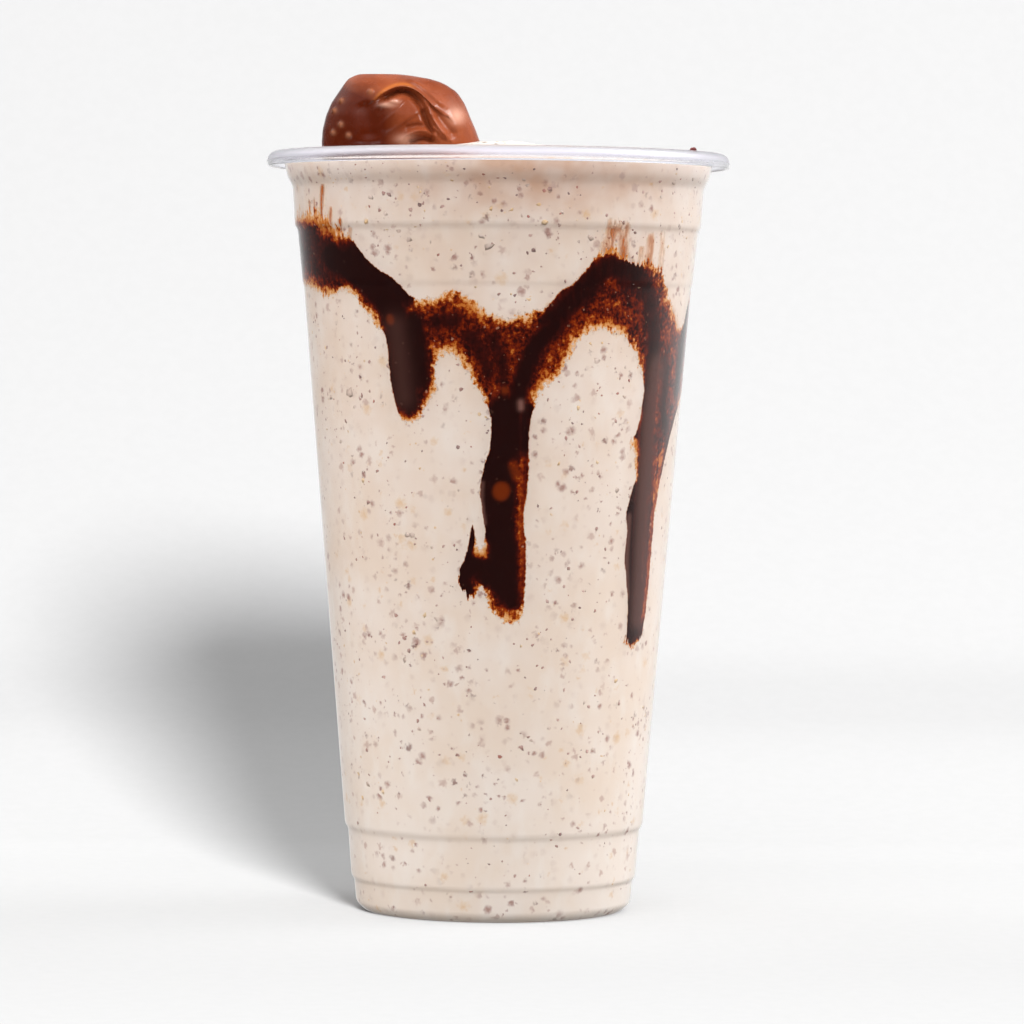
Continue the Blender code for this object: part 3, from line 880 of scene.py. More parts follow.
@dataclass
class SyrupFilm:
    """The syrup that has run down inside the wall: one film with a wavy band and its drips."""

    wall: TumblerWall
    radius: float = 38.0
    cell: float = 0.42
    margin: float = 2.0
    lowest: float = 53.0
    highest: float = 150.0
    into_wall: float = 0.15
    thickness: float = 0.3
    edge_depth: float = 0.42
    inner_depth: float = 0.12
    top_edge: tuple[Place, ...] = (
        (-180, 131), (-165, 134), (-150, 138), (-135, 141.5), (-120, 143), (-105, 142), (-90, 141.7),
        (-81, 142.6), (-72, 143), (-63, 142.8), (-57, 141.8), (-52, 139.6), (-46.5, 138), (-42.5, 134.8),
        (-37, 131.6), (-31, 129.4), (-27, 126.6), (-23.5, 125.2), (-18.5, 126), (-12.5, 127), (-7, 125.4),
        (-2, 122.7), (4, 122), (10.5, 123), (15, 124.4), (18, 127.2), (21.5, 128.4), (26, 131.6),
        (30, 134.8), (34, 136), (38.5, 134.2), (43.5, 132.9), (48.5, 133.3), (53, 132.6), (57.5, 129.8),
        (63, 125.4), (68, 121.8), (72.5, 119.8), (77, 121.6), (81, 125.4), (86, 127.8), (95, 129),
        (108, 128.2), (120, 126), (135, 124), (150, 126), (165, 129), (180, 131),
    )
    bottom_edge: tuple[Place, ...] = (
        (-180, 119), (-173, 117.6), (-168.5, 112), (-167.5, 104), (-166, 96.5), (-162, 92.6), (-158.5, 96),
        (-157.3, 104), (-155.5, 113), (-150, 120), (-142, 124.2), (-130, 127),
        (-120, 126), (-113, 121.8), (-110.3, 115), (-106.5, 111), (-103, 114.5), (-101, 121.5), (-95, 126.4),
        (-88, 128.2), (-81, 128.6), (-73.5, 128), (-65, 126.6), (-58.5, 126.2), (-52, 127.2),
        (-47.5, 126.6), (-43.5, 124), (-39, 120.6), (-35.3, 118), (-34.4, 112), (-33.6, 107),
        (-31.7, 102.6), (-28.8, 100.8), (-25.5, 101.4), (-22, 104.2), (-18.5, 107.6), (-18.9, 111.6),
        (-16.5, 114.6), (-12.5, 114.2), (-9, 111.4), (-5.5, 107.4), (-2.8, 104.6),
        (-1.7, 101), (-2, 96.5), (-4, 92), (-5, 87.5), (-4.1, 82.5), (-3.4, 78.5), (-4.8, 75.8),
        (-6.5, 76.8), (-7.5, 80.6), (-8.7, 77.2), (-10.4, 73.6), (-12.4, 70.4), (-11, 67.4), (-8.6, 65.8),
        (-6.2, 67.4), (-4.3, 68.2), (-2.3, 65), (0.8, 62.4), (4.6, 60.8), (8.2, 61), (9.5, 65), (10, 71),
        (10, 76.5), (9, 82), (9.9, 87), (10.3, 93), (10.1, 99), (11.7, 104.6),
        (15, 108), (18.5, 110.2), (21.5, 113.4), (24.5, 117.2), (29, 119.4), (34, 119.8), (39, 119),
        (44, 117), (48, 113.6),
        (51.5, 109), (51, 103), (49.2, 98.9), (47, 97), (49.5, 94), (51, 91), (49.2, 87), (47.3, 83),
        (48.4, 79), (48, 74), (49.6, 69.4), (51.5, 64.6), (52.1, 60), (52.4, 56.8), (56, 55.2), (60.5, 56.6),
        (63, 61), (64, 68), (64, 76), (64.2, 83), (67, 90.5), (71.5, 97.4), (77.5, 103),
        (84, 106), (90, 107.6), (98, 109.6), (106, 110.6), (109.5, 106), (111.5, 100.6), (114.5, 98.4),
        (117.3, 101), (119.3, 107),
        (125, 111.4), (137, 113), (150, 113.4), (157, 111), (160, 104), (161.2, 95), (162.6, 86.6),
        (165.4, 82.6), (168.6, 86), (170, 95), (171.4, 105), (174.5, 114.4), (180, 119),
    )
    channels: tuple[Stroke, ...] = (
        Stroke(((-88, 136), (-78, 136.4), (-68, 135.2), (-60, 133.2), (-53, 131.2)), 5.2, 0.45, 6),
        Stroke(((-56, 134), (-49, 132.4), (-43, 130), (-38, 127.2), (-33, 124.2)), 3.2, 1.0, 6),
        Stroke(
            ((-50, 136.6), (-46, 135.8), (-42, 132.8), (-37, 129.8), (-31, 127.8), (-27, 125.4)),
            1.8, 1.0, 4,
        ),
        Stroke(((-32.5, 123), (-30, 117), (-29, 111), (-29.2, 107), (-28.6, 104.6)), 3.3, 1.0, 4),
        Stroke(((-25.5, 121), (-24.4, 115), (-23.6, 109.6)), 2.3, 0.95, 4),
        Stroke(((44, 131), (38, 132), (33, 132.2), (28.2, 129.6), (21.6, 125), (16, 121.4)), 2.5, 0.85, 4),
        Stroke(((17, 120.6), (12, 116.6), (9, 112.6), (6.8, 107.6), (5.4, 103)), 1.8, 1.0, 3),
        Stroke(
            ((2.4, 103), (3.4, 98), (2.6, 93), (1.6, 87), (2.2, 80), (2.8, 74), (2.6, 69), (4, 65.6)),
            3.9, 1.0, 4,
        ),
        Stroke(((-1.5, 88), (-2, 83), (-0.6, 78)), 1.9, 0.95, 4),
        Stroke(((-0.4, 102), (-0.8, 96.5), (-2.8, 92), (-3.7, 87.5), (-2.9, 82.5), (-2, 78.5)), 1.7, 1.0, 4),
        Stroke(((9.6, 104), (8.8, 99), (9, 95)), 1.2, 0.9, 4),
        Stroke(((-7.4, 79.6), (-8.2, 76), (-9.8, 73), (-11, 70.4), (-9.6, 67.8)), 1.5, 1.0, 4),
        Stroke(((49.6, 84), (49.6, 78), (50.8, 70), (52.8, 62), (54.4, 57.6)), 1.5, 1.0, 4),
        Stroke(((-10.6, 70.8), (-8.6, 72), (-5, 72.6), (-1, 72)), 2.1, 0.95, 4),
        Stroke(((-7.6, 80), (-8.1, 76.6), (-8.4, 73)), 0.8, 0.85, 3),
        Stroke(((-5, 70.6), (-2.6, 69.6)), 1.8, 0.9, 3),
        Stroke(((55.4, 116), (54.6, 108), (54.4, 101), (55.6, 94), (56, 88)), 2.6, 0.8, 4),
        Stroke(((54.6, 90), (54.4, 82), (54.6, 74), (56, 66), (57, 59.6)), 2.8, 0.85, 4),
        Stroke(((60, 84), (59.6, 76), (60, 68), (59.4, 61)), 1.8, 0.5, 3),
        Stroke(((40, 130), (47, 128.6), (52, 125), (54.4, 120), (55, 114)), 2.6, 0.6, 3),
        Stroke(((-18, 121), (-13, 121.4)), 1.9, 0.62),
        Stroke(((-8, 118.4), (-5, 115), (-2.6, 111)), 1.7, 0.6),
        Stroke(((-1.6, 118), (1, 114), (1.4, 109.6)), 1.5, 0.55),
        Stroke(((62, 113), (64, 106), (66, 100)), 1.7, 0.62),
        Stroke(((80, 124), (77, 116), (75.6, 108)), 2.1, 0.9),
        Stroke(((92, 120), (108, 119), (125, 118.6), (150, 120), (165, 119), (180, 124)), 3.6, 1.0, 4),
        Stroke(((114.6, 117), (114.6, 109), (114.8, 104)), 2.0, 0.95, 4),
        Stroke(((165.4, 116), (165.6, 106), (165.6, 96), (165.4, 89)), 2.4, 1.0, 4),
        Stroke(((-180, 125), (-168, 124), (-150, 129), (-130, 134.6), (-110, 135), (-88, 136)), 3.9, 1.0, 4),
        Stroke(((-163, 120), (-162.6, 110), (-162.4, 101)), 2.3, 1.0, 4),
        Stroke(((-106.6, 128), (-106.4, 121), (-106.4, 116)), 2.1, 0.95, 4),
    )
    crisp_edges: tuple[Stroke, ...] = (
        Stroke(((-45, 137), (-41, 133.8), (-36, 131.2), (-31, 129.4), (-27, 126.8)), 1.6, 0.62, 4),
        Stroke(((-36, 118), (-34.8, 112), (-33.8, 107), (-32, 103.4)), 1.9, 0.95, 4),
        Stroke(((15, 124.4), (18, 127), (21.5, 128.6), (26, 131.6), (29, 133.8)), 1.5, 0.5, 4),
        Stroke(
            ((-1, 103), (-1.8, 101), (-2, 96.5), (-4, 92), (-5, 87.5), (-4.1, 82.5), (-3.4, 79)),
            1.7, 1.0, 4,
        ),
        Stroke(((11.4, 103), (10.2, 99), (10.3, 93), (9.9, 87)), 1.5, 0.8, 4),
        Stroke(((9.9, 88), (9, 82), (10, 76.5), (10, 71), (9.6, 66)), 1.3, 0.62, 4),
        Stroke(((-8.7, 77.4), (-10.4, 73.6), (-12.4, 70.4), (-11, 67.6), (-8.8, 66)), 1.3, 0.4, 4),
        Stroke(((51.2, 108), (51, 103), (49.2, 98.9)), 1.2, 0.8, 4),
        Stroke(
            ((49.2, 88), (47.3, 83), (48.4, 79), (48, 74), (49.6, 69.4), (51.5, 64.6), (52.1, 59.6)),
            1.8, 1.0, 4,
        ),
        Stroke(((61, 58), (63, 61), (64, 68), (64, 76), (64.2, 83)), 1.5, 0.6, 4),
        Stroke(((64.2, 83), (67, 90.5), (71.5, 97.4), (77.5, 103)), 1.5, 0.6, 4),
        Stroke(((-167.5, 106), (-166, 97)), 1.6, 0.9, 4),
        Stroke(((160.6, 101), (162, 90)), 1.6, 0.9, 4),
    )
    thin_places: tuple[Stroke, ...] = (
        Stroke(((-80, 143), (-70, 143.2), (-60, 142), (-53, 139.6), (-48.6, 138.2)), 2.2, 0.55),
        Stroke(((-88, 128.4), (-76, 128.2), (-64, 126.8), (-55, 127), (-49, 126.8)), 1.3, 0.5),
        Stroke(((-47, 126), (-42, 123), (-38, 119.6)), 1.5, 0.3),
        Stroke(((-32, 103.2), (-29, 101.4), (-25, 101.8)), 1.2, 0.5),
        Stroke(((-22, 104.6), (-18.8, 108)), 1.2, 0.4),
        Stroke(((-25.6, 124.6), (-21, 125.4), (-16, 126.4)), 1.1, 0.35),
        Stroke(((-10, 125), (-3, 123), (4, 122.4), (9, 122.6)), 1.2, 0.35),
        Stroke(((-17, 115), (-12.5, 114.6), (-9, 112)), 1.2, 0.35),
        Stroke(
            ((13, 107.4), (17, 110), (20, 112.4), (23, 116), (28, 119.4), (34, 120.2), (40, 119.4)),
            1.3, 0.35,
        ),
        Stroke(((31, 135.4), (34, 136), (38, 134.6)), 0.9, 0.6),
        Stroke(((8.8, 94), (8.4, 88), (7.6, 82.6), (8.4, 78)), 1.4, 0.3, 3),
        Stroke(((8.8, 77), (8.8, 71), (8.6, 66)), 1.2, 0.22, 3),
        Stroke(((5.2, 92.8), (6.6, 90.4)), 1.1, 0.5),
        Stroke(((-2.2, 66.4), (0.6, 63.8), (4.4, 62.2), (8.2, 62.4)), 1.7, 0.45, 3),
        Stroke(((-5.8, 75.2), (-4.6, 77.2), (-4.2, 75)), 1.2, 0.9, 4),
        Stroke(((46.6, 97.4), (48.6, 97), (49.4, 92), (50.4, 90)), 1.0, 0.8, 3),
        Stroke(((48.4, 107), (51, 103), (49.6, 100)), 0.8, 0.5),
        Stroke(((66.5, 95), (63.6, 84), (63.2, 72), (62.4, 62)), 1.0, 0.4, 3),
        Stroke(((-161, 94.6), (-163, 93)), 1.4, 0.6),
        Stroke(((164, 85), (167, 84)), 1.4, 0.6),
        Stroke(((-107, 112.5), (-105, 113)), 1.3, 0.6),
        Stroke(((113, 100), (116, 100)), 1.3, 0.6),
    )
    bubbles: tuple[Stroke, ...] = (
        Stroke(((1.6, 87.3), (1.7, 87.5)), 1.85, 1.0, 8),
        Stroke(((5.4, 92.4), (6.4, 90.6)), 1.0, 0.7, 3),
        Stroke(((2.4, 107.6), (2.5, 107.4)), 0.75, 0.8, 4),
        Stroke(((-33.4, 121.6), (-33.2, 121.2)), 0.9, 0.7, 4),
        Stroke(((166, 101), (166.1, 100.8)), 1.1, 0.8, 4),
    )
    # Painted sheen: the greyish reflections on the drips and a drop.
    painted_sheens: tuple[Stroke, ...] = (
        Stroke(((7.3, 105.1), (7.4, 104)), 0.6, 0.7),
        Stroke(((-4.4, 89), (-4.6, 85.6), (-3.6, 81)), 0.5, 0.3, 3),
        Stroke(((48.8, 82), (49.2, 73), (51, 66)), 0.9, 0.3, 3),
        Stroke(((58, 112), (56.4, 100), (56.6, 84), (57.6, 72), (58.4, 62)), 3.2, 0.27, 3),
        Stroke(((-31.6, 120), (-30.4, 113), (-29.6, 106)), 2.6, 0.13),
    )
    feathers: tuple[Stroke, ...] = (
        Stroke(((-92, 142), (-80, 143.4), (-70, 143.8), (-61, 143), (-55, 140.6), (-49, 138.4)), 2.4, 1.0),
        Stroke(((32, 136), (37, 135.6), (43, 133.6), (50, 133.8), (55, 132)), 1.8, 0.7),
        Stroke(((50.5, 58), (55, 56), (60, 57.5)), 1.6, 0.9),
        Stroke(((-13, 70), (-11, 67.4), (-7, 66.6)), 1.6, 0.6),
        Stroke(((100, 128.6), (120, 126), (140, 124.6), (165, 129)), 1.8, 0.6),
    )
    wisps: tuple[Stroke, ...] = (
        Stroke(((-58.5, 142.5), (-58.3, 145.4), (-57.6, 148)), 0.8, 0.7),
        Stroke(((-62.5, 143), (-62.8, 146)), 0.45, 0.5),
        Stroke(((-66, 143.4), (-66.2, 145.4)), 0.5, 0.6),
        Stroke(((-54.5, 141), (-53.8, 143.6)), 0.6, 0.6),
        Stroke(((-50.5, 139.4), (-49.8, 141.4)), 0.6, 0.7),
        Stroke(((-47, 138), (-46.4, 139.6)), 0.5, 0.6),
        Stroke(((33, 136), (33.6, 138.4), (34, 140.4)), 1.6, 0.6),
        Stroke(((38.5, 134.5), (38.4, 137), (38, 140)), 1.3, 0.6),
        Stroke(((33, 139.8), (36, 139.6), (38.4, 140)), 0.8, 0.5),
        Stroke(((48.8, 133), (49.4, 135.6), (49.2, 138)), 1.3, 0.5),
        Stroke(((45, 133), (45.4, 136)), 0.7, 0.5),
        Stroke(((54.5, 131), (55, 135), (54.4, 139)), 1.1, 0.35),
        Stroke(((66, 123), (68, 121), (72, 118)), 1.6, 0.4),
    )

    def unroll(self, places: Sequence[Place]) -> np.ndarray:
        """Returns (angle, height) places as points of the unrolled wall, in mm."""
        rows = np.array(places, float)
        return np.stack([np.radians(rows[:, 0]) * self.radius, rows[:, 1]], axis=1)

    def distance_to(self, points: np.ndarray, path: np.ndarray, reach: float) -> np.ndarray:
        """Returns each point's distance to a path, both unrolled, in mm.

        Args:
            points: Places on the unrolled wall.
            path: Points along the path.
            reach: The largest distance that matters; points farther off get this one.
        """
        nearest = np.full(len(points), float(reach) ** 2)
        low, high = path.min(axis=0) - reach, path.max(axis=0) + reach
        across, up = np.ascontiguousarray(points.T)
        close = np.flatnonzero((across > low[0]) & (across < high[0]) & (up > low[1]) & (up < high[1]))
        close = close[np.argsort(across[close], kind="stable")]
        ordered = across[close]
        for start, end in zip(path, path[1:]):
            first = np.searchsorted(ordered, min(start[0], end[0]) - reach)
            last = np.searchsorted(ordered, max(start[0], end[0]) + reach)
            near = close[first:last]
            near = near[np.abs(up[near] - (start[1] + end[1]) / 2) < reach + abs(end[1] - start[1]) / 2]
            step_x, step_y = end - start
            off_x, off_y = across[near] - start[0], up[near] - start[1]
            share = np.clip((off_x * step_x + off_y * step_y) / (step_x**2 + step_y**2), 0, 1)
            squared = (off_x - share * step_x) ** 2 + (off_y - share * step_y) ** 2
            nearest[near] = np.minimum(nearest[near], squared)
        return np.sqrt(nearest)

    def outline(self) -> list[np.ndarray]:
        """Returns the film's two edges unrolled, carried on a little past the back seam on both sides."""
        turn = np.array([2 * math.pi * self.radius, 0])
        edges = []
        for places in (self.top_edge, self.bottom_edge):
            edge = smooth_path(self.unroll(places), 1.4)
            before = (edge - turn)[edge[:, 0] > 2.4 * self.radius]
            after = (edge + turn)[edge[:, 0] < -2.4 * self.radius]
            edges.append(np.vstack([before[:-1], edge, after[1:]]))
        return edges

    def inside(self, points: np.ndarray, edges: list[np.ndarray]) -> np.ndarray:
        """Returns which unrolled points lie between the two edges, counting the edges above each."""
        crossings = np.zeros(len(points), int)
        for edge in edges:
            for start, end in zip(edge, edge[1:]):
                low, high = sorted((start[0], end[0]))
                if high == low:
                    continue
                share = (points[:, 0] - start[0]) / (end[0] - start[0])
                above = start[1] + share * (end[1] - start[1]) > points[:, 1]
                crossings += (points[:, 0] >= low) & (points[:, 0] < high) & above
        return crossings % 2 == 1

    def signed_distance(self, points: np.ndarray) -> np.ndarray:
        """Returns each unrolled point's distance from the film's edge in mm, more than 0 inside it."""
        edges = self.outline()
        near = np.minimum(self.distance_to(points, edges[0], 6), self.distance_to(points, edges[1], 6))
        return np.where(self.inside(points, edges), near, -near)

    def marks(self, points: np.ndarray, strokes: Sequence[Stroke]) -> np.ndarray:
        """Returns how strongly the strokes mark each unrolled point."""
        strongest = np.zeros(len(points))
        for stroke in strokes:
            path = smooth_path(self.unroll(stroke.places), 2.0)
            distance = self.distance_to(points, path, 3 * stroke.half_width)
            fall = np.exp(-((distance / stroke.half_width) ** stroke.power))
            strongest = np.maximum(strongest, stroke.strength * fall)
        return strongest

    def depth(self, points: np.ndarray, edge: np.ndarray) -> np.ndarray:
        """Returns how deep the syrup is at unrolled points, from 0 for a stain to 1 for a full run.

        Args:
            points: Places on the unrolled wall.
            edge: Their distances from the film's edge, in mm.
        """
        film = self.edge_depth + self.inner_depth * np.clip((edge - 0.6) / 3, 0, 1)
        runs = np.maximum(self.marks(points, self.channels), self.marks(points, self.crisp_edges))
        return np.clip(film + (1 - film) * runs - self.marks(points, self.thin_places), 0, 1)

    def flat_grid(self) -> bpy.types.Object:
        """Returns a fine grid over the unrolled wall, in mm, without the cells far from the film."""
        width, height = 2 * math.pi * self.radius, self.highest - self.lowest
        columns, rows = round(width / self.cell), round(height / self.cell)
        bpy.ops.object.select_all(action="DESELECT")
        bpy.ops.mesh.primitive_grid_add(
            x_subdivisions=columns, y_subdivisions=rows, size=1, enter_editmode=True, location=(0, 0, 0),
        )
        bpy.ops.transform.resize(value=(width, height, 1))
        bpy.ops.transform.translate(value=(0, (self.lowest + self.highest) / 2, 0))
        bpy.ops.object.mode_set(mode="OBJECT")
        piece = name_active("syrup_film")
        points = points_of(piece)[:, :2]
        near = np.maximum(self.signed_distance(points) + self.margin, self.marks(points, self.wisps) - 0.1)
        bpy.ops.object.mode_set(mode="EDIT")
        bpy.ops.mesh.select_all(action="DESELECT")
        bpy.ops.object.mode_set(mode="OBJECT")
        piece.data.vertices.foreach_set("select", near < 0)
        bpy.ops.object.mode_set(mode="EDIT")
        bpy.ops.mesh.delete(type="VERT")
        bpy.ops.object.mode_set(mode="OBJECT")
        return piece

    def build(self) -> bpy.types.Object:
        """Returns the film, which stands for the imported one."""
        piece = self.flat_grid()
        flat = points_of(piece)[:, :2]
        edge = self.signed_distance(flat)
        store_values(piece, "edge_mm", edge)
        store_values(piece, "depth", self.depth(flat, edge))
        store_values(piece, "crisp", np.clip(self.marks(flat, self.crisp_edges) * 1.5, 0, 1))
        strokes = {"bubble": self.bubbles, "painted_sheen": self.painted_sheens, "wisp": self.wisps, "feather": self.feathers}
        for name, group in strokes.items():
            store_values(piece, name, self.marks(flat, group))
        angle = np.degrees(flat[:, 0] / self.radius)
        move_points(piece, self.wall.wall_points(angle, flat[:, 1], -self.into_wall))
        bpy.ops.object.mode_set(mode="EDIT")
        bpy.ops.mesh.select_all(action="SELECT")
        bpy.ops.mesh.remove_doubles(threshold=0.02 * MM)
        bpy.ops.mesh.normals_make_consistent(inside=False)
        bpy.ops.object.mode_set(mode="OBJECT")
        face = piece.data.polygons[0]
        if face.normal.dot(face.center * Vector((1, 1, 0))) < 0:
            piece.data.flip_normals()
        apply_modifier(piece, "SOLIDIFY", thickness=self.thickness * MM, offset=-1)
        smooth_shade(piece, 60)
        piece.data.materials.append(SyrupFinish().make())
        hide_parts("syrup_drizzle")
        return piece


class SpeckKind(Enum):
    """The kinds of crumb and bubble in the drink: name, two colours, number and largest size in mm."""

    DARK = ("dark_crumbs", (134, 106, 100), (166, 138, 130), 360, 1.15)
    MAUVE = ("mauve_crumbs", (172, 136, 126), (198, 168, 157), 1500, 1.4)
    RED = ("red_brown_crumbs", (156, 98, 86), (186, 132, 118), 380, 0.9)
    TAN = ("tan_crumbs", (218, 184, 140), (228, 202, 168), 620, 1.4)
    PALE = ("pale_bubbles", (200, 178, 164), (214, 196, 184), 520, 1.7)

    def __init__(self, label: str, first: Colour, second: Colour, count: int, largest: float) -> None:
        """Names the fields of a kind."""
        self.label = label
        self.first = first
        self.second = second
        self.count = count
        self.largest = largest


@dataclass
class Specks:
    """Crumbs and bubbles that show at the drink's side and top, one piece for each kind.

    Landmarks are those that stand out in the photograph: angle, height and size.
    """

    wall: TumblerWall
    drink: Drink
    into_wall: float = 0.07
    seed: int = 20
    flake_shapes: int = 12
    flake_height: float = 0.11
    wall_slope: float = 0.08
    top_radius: float = 41.5
    side_to_top: int = 8
    landmarks: dict[str, tuple[tuple[float, float, float], ...]] = field(default_factory=lambda: {
        "dark_crumbs": (
            (-31.5, 146.2, 1.5), (-22, 144, 1.3), (8.5, 134.8, 0.9), (10, 135.4, 1.4), (-10.5, 132.2, 0.9),
            (5, 126.4, 1.1), (-39.5, 115.8, 0.8), (-9, 151.3, 0.7), (9.5, 151.4, 0.9), (19.5, 146.6, 0.8),
            (-12, 96, 1.2), (22, 75.4, 0.9), (30, 64, 1.0), (-3, 99, 0.9), (24, 101, 0.9), (-9, 55.4, 1.0),
        ),
        "mauve_crumbs": (
            (-24.6, 143.2, 1.3), (-21, 144.4, 1.2), (14, 147.4, 1.5), (33, 138, 1.2), (-42, 113, 1.4),
            (18, 84, 1.0), (25, 72, 1.1), (-33, 57.5, 1.4), (-28, 56.4, 1.0), (-24, 57, 0.9), (10, 36, 1.8),
            (-36, 62, 1.3),
        ),
        "red_brown_crumbs": (
            (-17, 134.4, 1.0), (0, 149.6, 0.8), (22, 147.8, 0.9), (-5, 148.6, 1.6), (12.6, 147, 1.4),
            (17.4, 142.6, 0.8), (2, 34, 1.2), (40, 107, 0.9),
        ),
        "tan_crumbs": ((13, 141, 1.6), (33, 117, 0.9), (-2, 143.4, 1.4), (20, 93, 1.2), (-20, 80, 1.0)),
        "pale_bubbles": (
            (-52, 106.6, 2.9), (-26, 137.4, 1.8), (-5, 138.2, 2.0), (-2.4, 136, 2.4), (27, 138, 1.8),
            (31.4, 113.4, 1.9), (-28, 78.4, 2.0),
        ),
    })

    def thickly(self, angle: float, height: float) -> float:
        """Returns how thickly crumbs lie at a place, from 0 to 1, most of them high up."""
        upper = 0.45 + 0.55 * min(1.0, max(0.0, (height - 95) / 45))
        foot = min(1.0, max(0.35, height / 35))
        clump = 0.5 + 0.9 * noise.noise(Vector((angle / 14, height / 12, 0.4)))
        return upper * foot * min(1.0, max(0.15, clump))

    def model_flakes(self) -> tuple[list[np.ndarray], np.ndarray]:
        """Models a few irregular flakes, each from a ball of 20 faces.

        Returns:
            The points of each flake, about 1 across, and the faces that they all share.
        """
        shapes = []
        for number in range(self.flake_shapes):
            bpy.ops.object.select_all(action="DESELECT")
            bpy.ops.mesh.primitive_ico_sphere_add(
                subdivisions=1, radius=0.5, enter_editmode=True, location=(0, 0, 0),
            )
            bpy.ops.transform.vertex_random(offset=0.13, uniform=0.8, normal=0.2, seed=number + 1)
            bpy.ops.transform.resize(value=(1, 0.6 + 0.09 * (number % 5), 1))
            bpy.ops.object.mode_set(mode="OBJECT")
            flake = bpy.context.view_layer.objects.active
            shapes.append(points_of(flake))
            faces = np.array([polygon.vertices[:] for polygon in flake.data.polygons])
            bpy.ops.object.delete()
        return shapes, faces

    def side_flakes(self, kind: SpeckKind, chance: np.random.Generator) -> list[tuple[Matrix, float]]:
        """Returns the places and sizes of one kind's crumbs on the side, flat against the wall."""
        spots = list(self.landmarks[kind.label])
        while len(spots) < kind.count:
            angle, height = chance.uniform(-180, 180), chance.uniform(3, 152.6)
            if chance.random() < self.thickly(angle, height):
                spots.append((angle, height, 0.28 + (kind.largest - 0.28) * chance.random() ** 2.6))
        flakes = []
        for angle, height, size in spots:
            middle = Vector(self.wall.wall_points(angle, height, -self.into_wall))
            outward = Vector((middle.x, middle.y, -self.wall_slope * math.hypot(middle.x, middle.y)))
            turn = Matrix.Rotation(chance.uniform(0, 2 * math.pi), 4, "Z")
            tilt = outward.to_track_quat("Z", "Y").to_matrix().to_4x4()
            flakes.append((Matrix.Translation(middle) @ tilt @ turn, size))
        return flakes

    def top_flakes(self, kind: SpeckKind, chance: np.random.Generator) -> list[tuple[Matrix, float]]:
        """Returns the places and sizes of one kind's crumbs on the top."""
        radii, heights = zip(*self.drink.crown)
        flakes = []
        for _ in range(kind.count // self.side_to_top):
            radius = self.top_radius * math.sqrt(chance.random())
            turn = chance.uniform(0, 2 * math.pi)
            x, y = radius * math.cos(turn), radius * math.sin(turn)
            height = float(np.interp(radius, radii, heights)) + self.drink.crown_lift(x, y)
            spin = Matrix.Rotation(chance.uniform(0, 2 * math.pi), 4, "Z")
            place = Matrix.Translation(Vector((x, y, height + 0.02)) * MM) @ spin
            flakes.append((place, 0.3 + (kind.largest - 0.3) * chance.random() ** 2))
        return flakes

    def build(self) -> list[bpy.types.Object]:
        """Returns one piece for each kind."""
        shapes, faces = self.model_flakes()
        made = []
        for number, kind in enumerate(SpeckKind):
            chance = np.random.default_rng(self.seed + number)
            flakes = self.side_flakes(kind, chance) + self.top_flakes(kind, chance)
            points = []
            for place, size in flakes:
                shape = shapes[chance.integers(len(shapes))] * (size, size, min(size, self.flake_height))
                points.append(shape * MM @ np.array(place.to_3x3()).T + np.array(place.translation))
            joined = faces + len(shapes[0]) * np.arange(len(points))[:, None, None]
            mesh = bpy.data.meshes.new(kind.label)
            mesh.from_pydata(np.concatenate(points).tolist(), [], joined.reshape(-1, 3).tolist())
            piece = bpy.data.objects.new(kind.label, mesh)
            bpy.context.scene.collection.objects.link(piece)
            finish = CrumbFinish(kind.label, linear(*kind.first), linear(*kind.second))
            mesh.materials.append(finish.make())
            smooth_shade(piece, 180)
            made.append(piece)
        return made


@dataclass(frozen=True)
class Relief:
    """A fold or groove in the bonbon's shown face, in mm.

    Its places are (x, z), its height is less than 0 for a groove, and its widths are those to the left and to
    the right of the way that it runs. Droop lowers its crest, and taper sets how fast its ends fade.
    """

    places: tuple[Place, ...]
    height: float
    left_width: float
    right_width: float
    droop: float = 0.0
    taper: float = 5.0


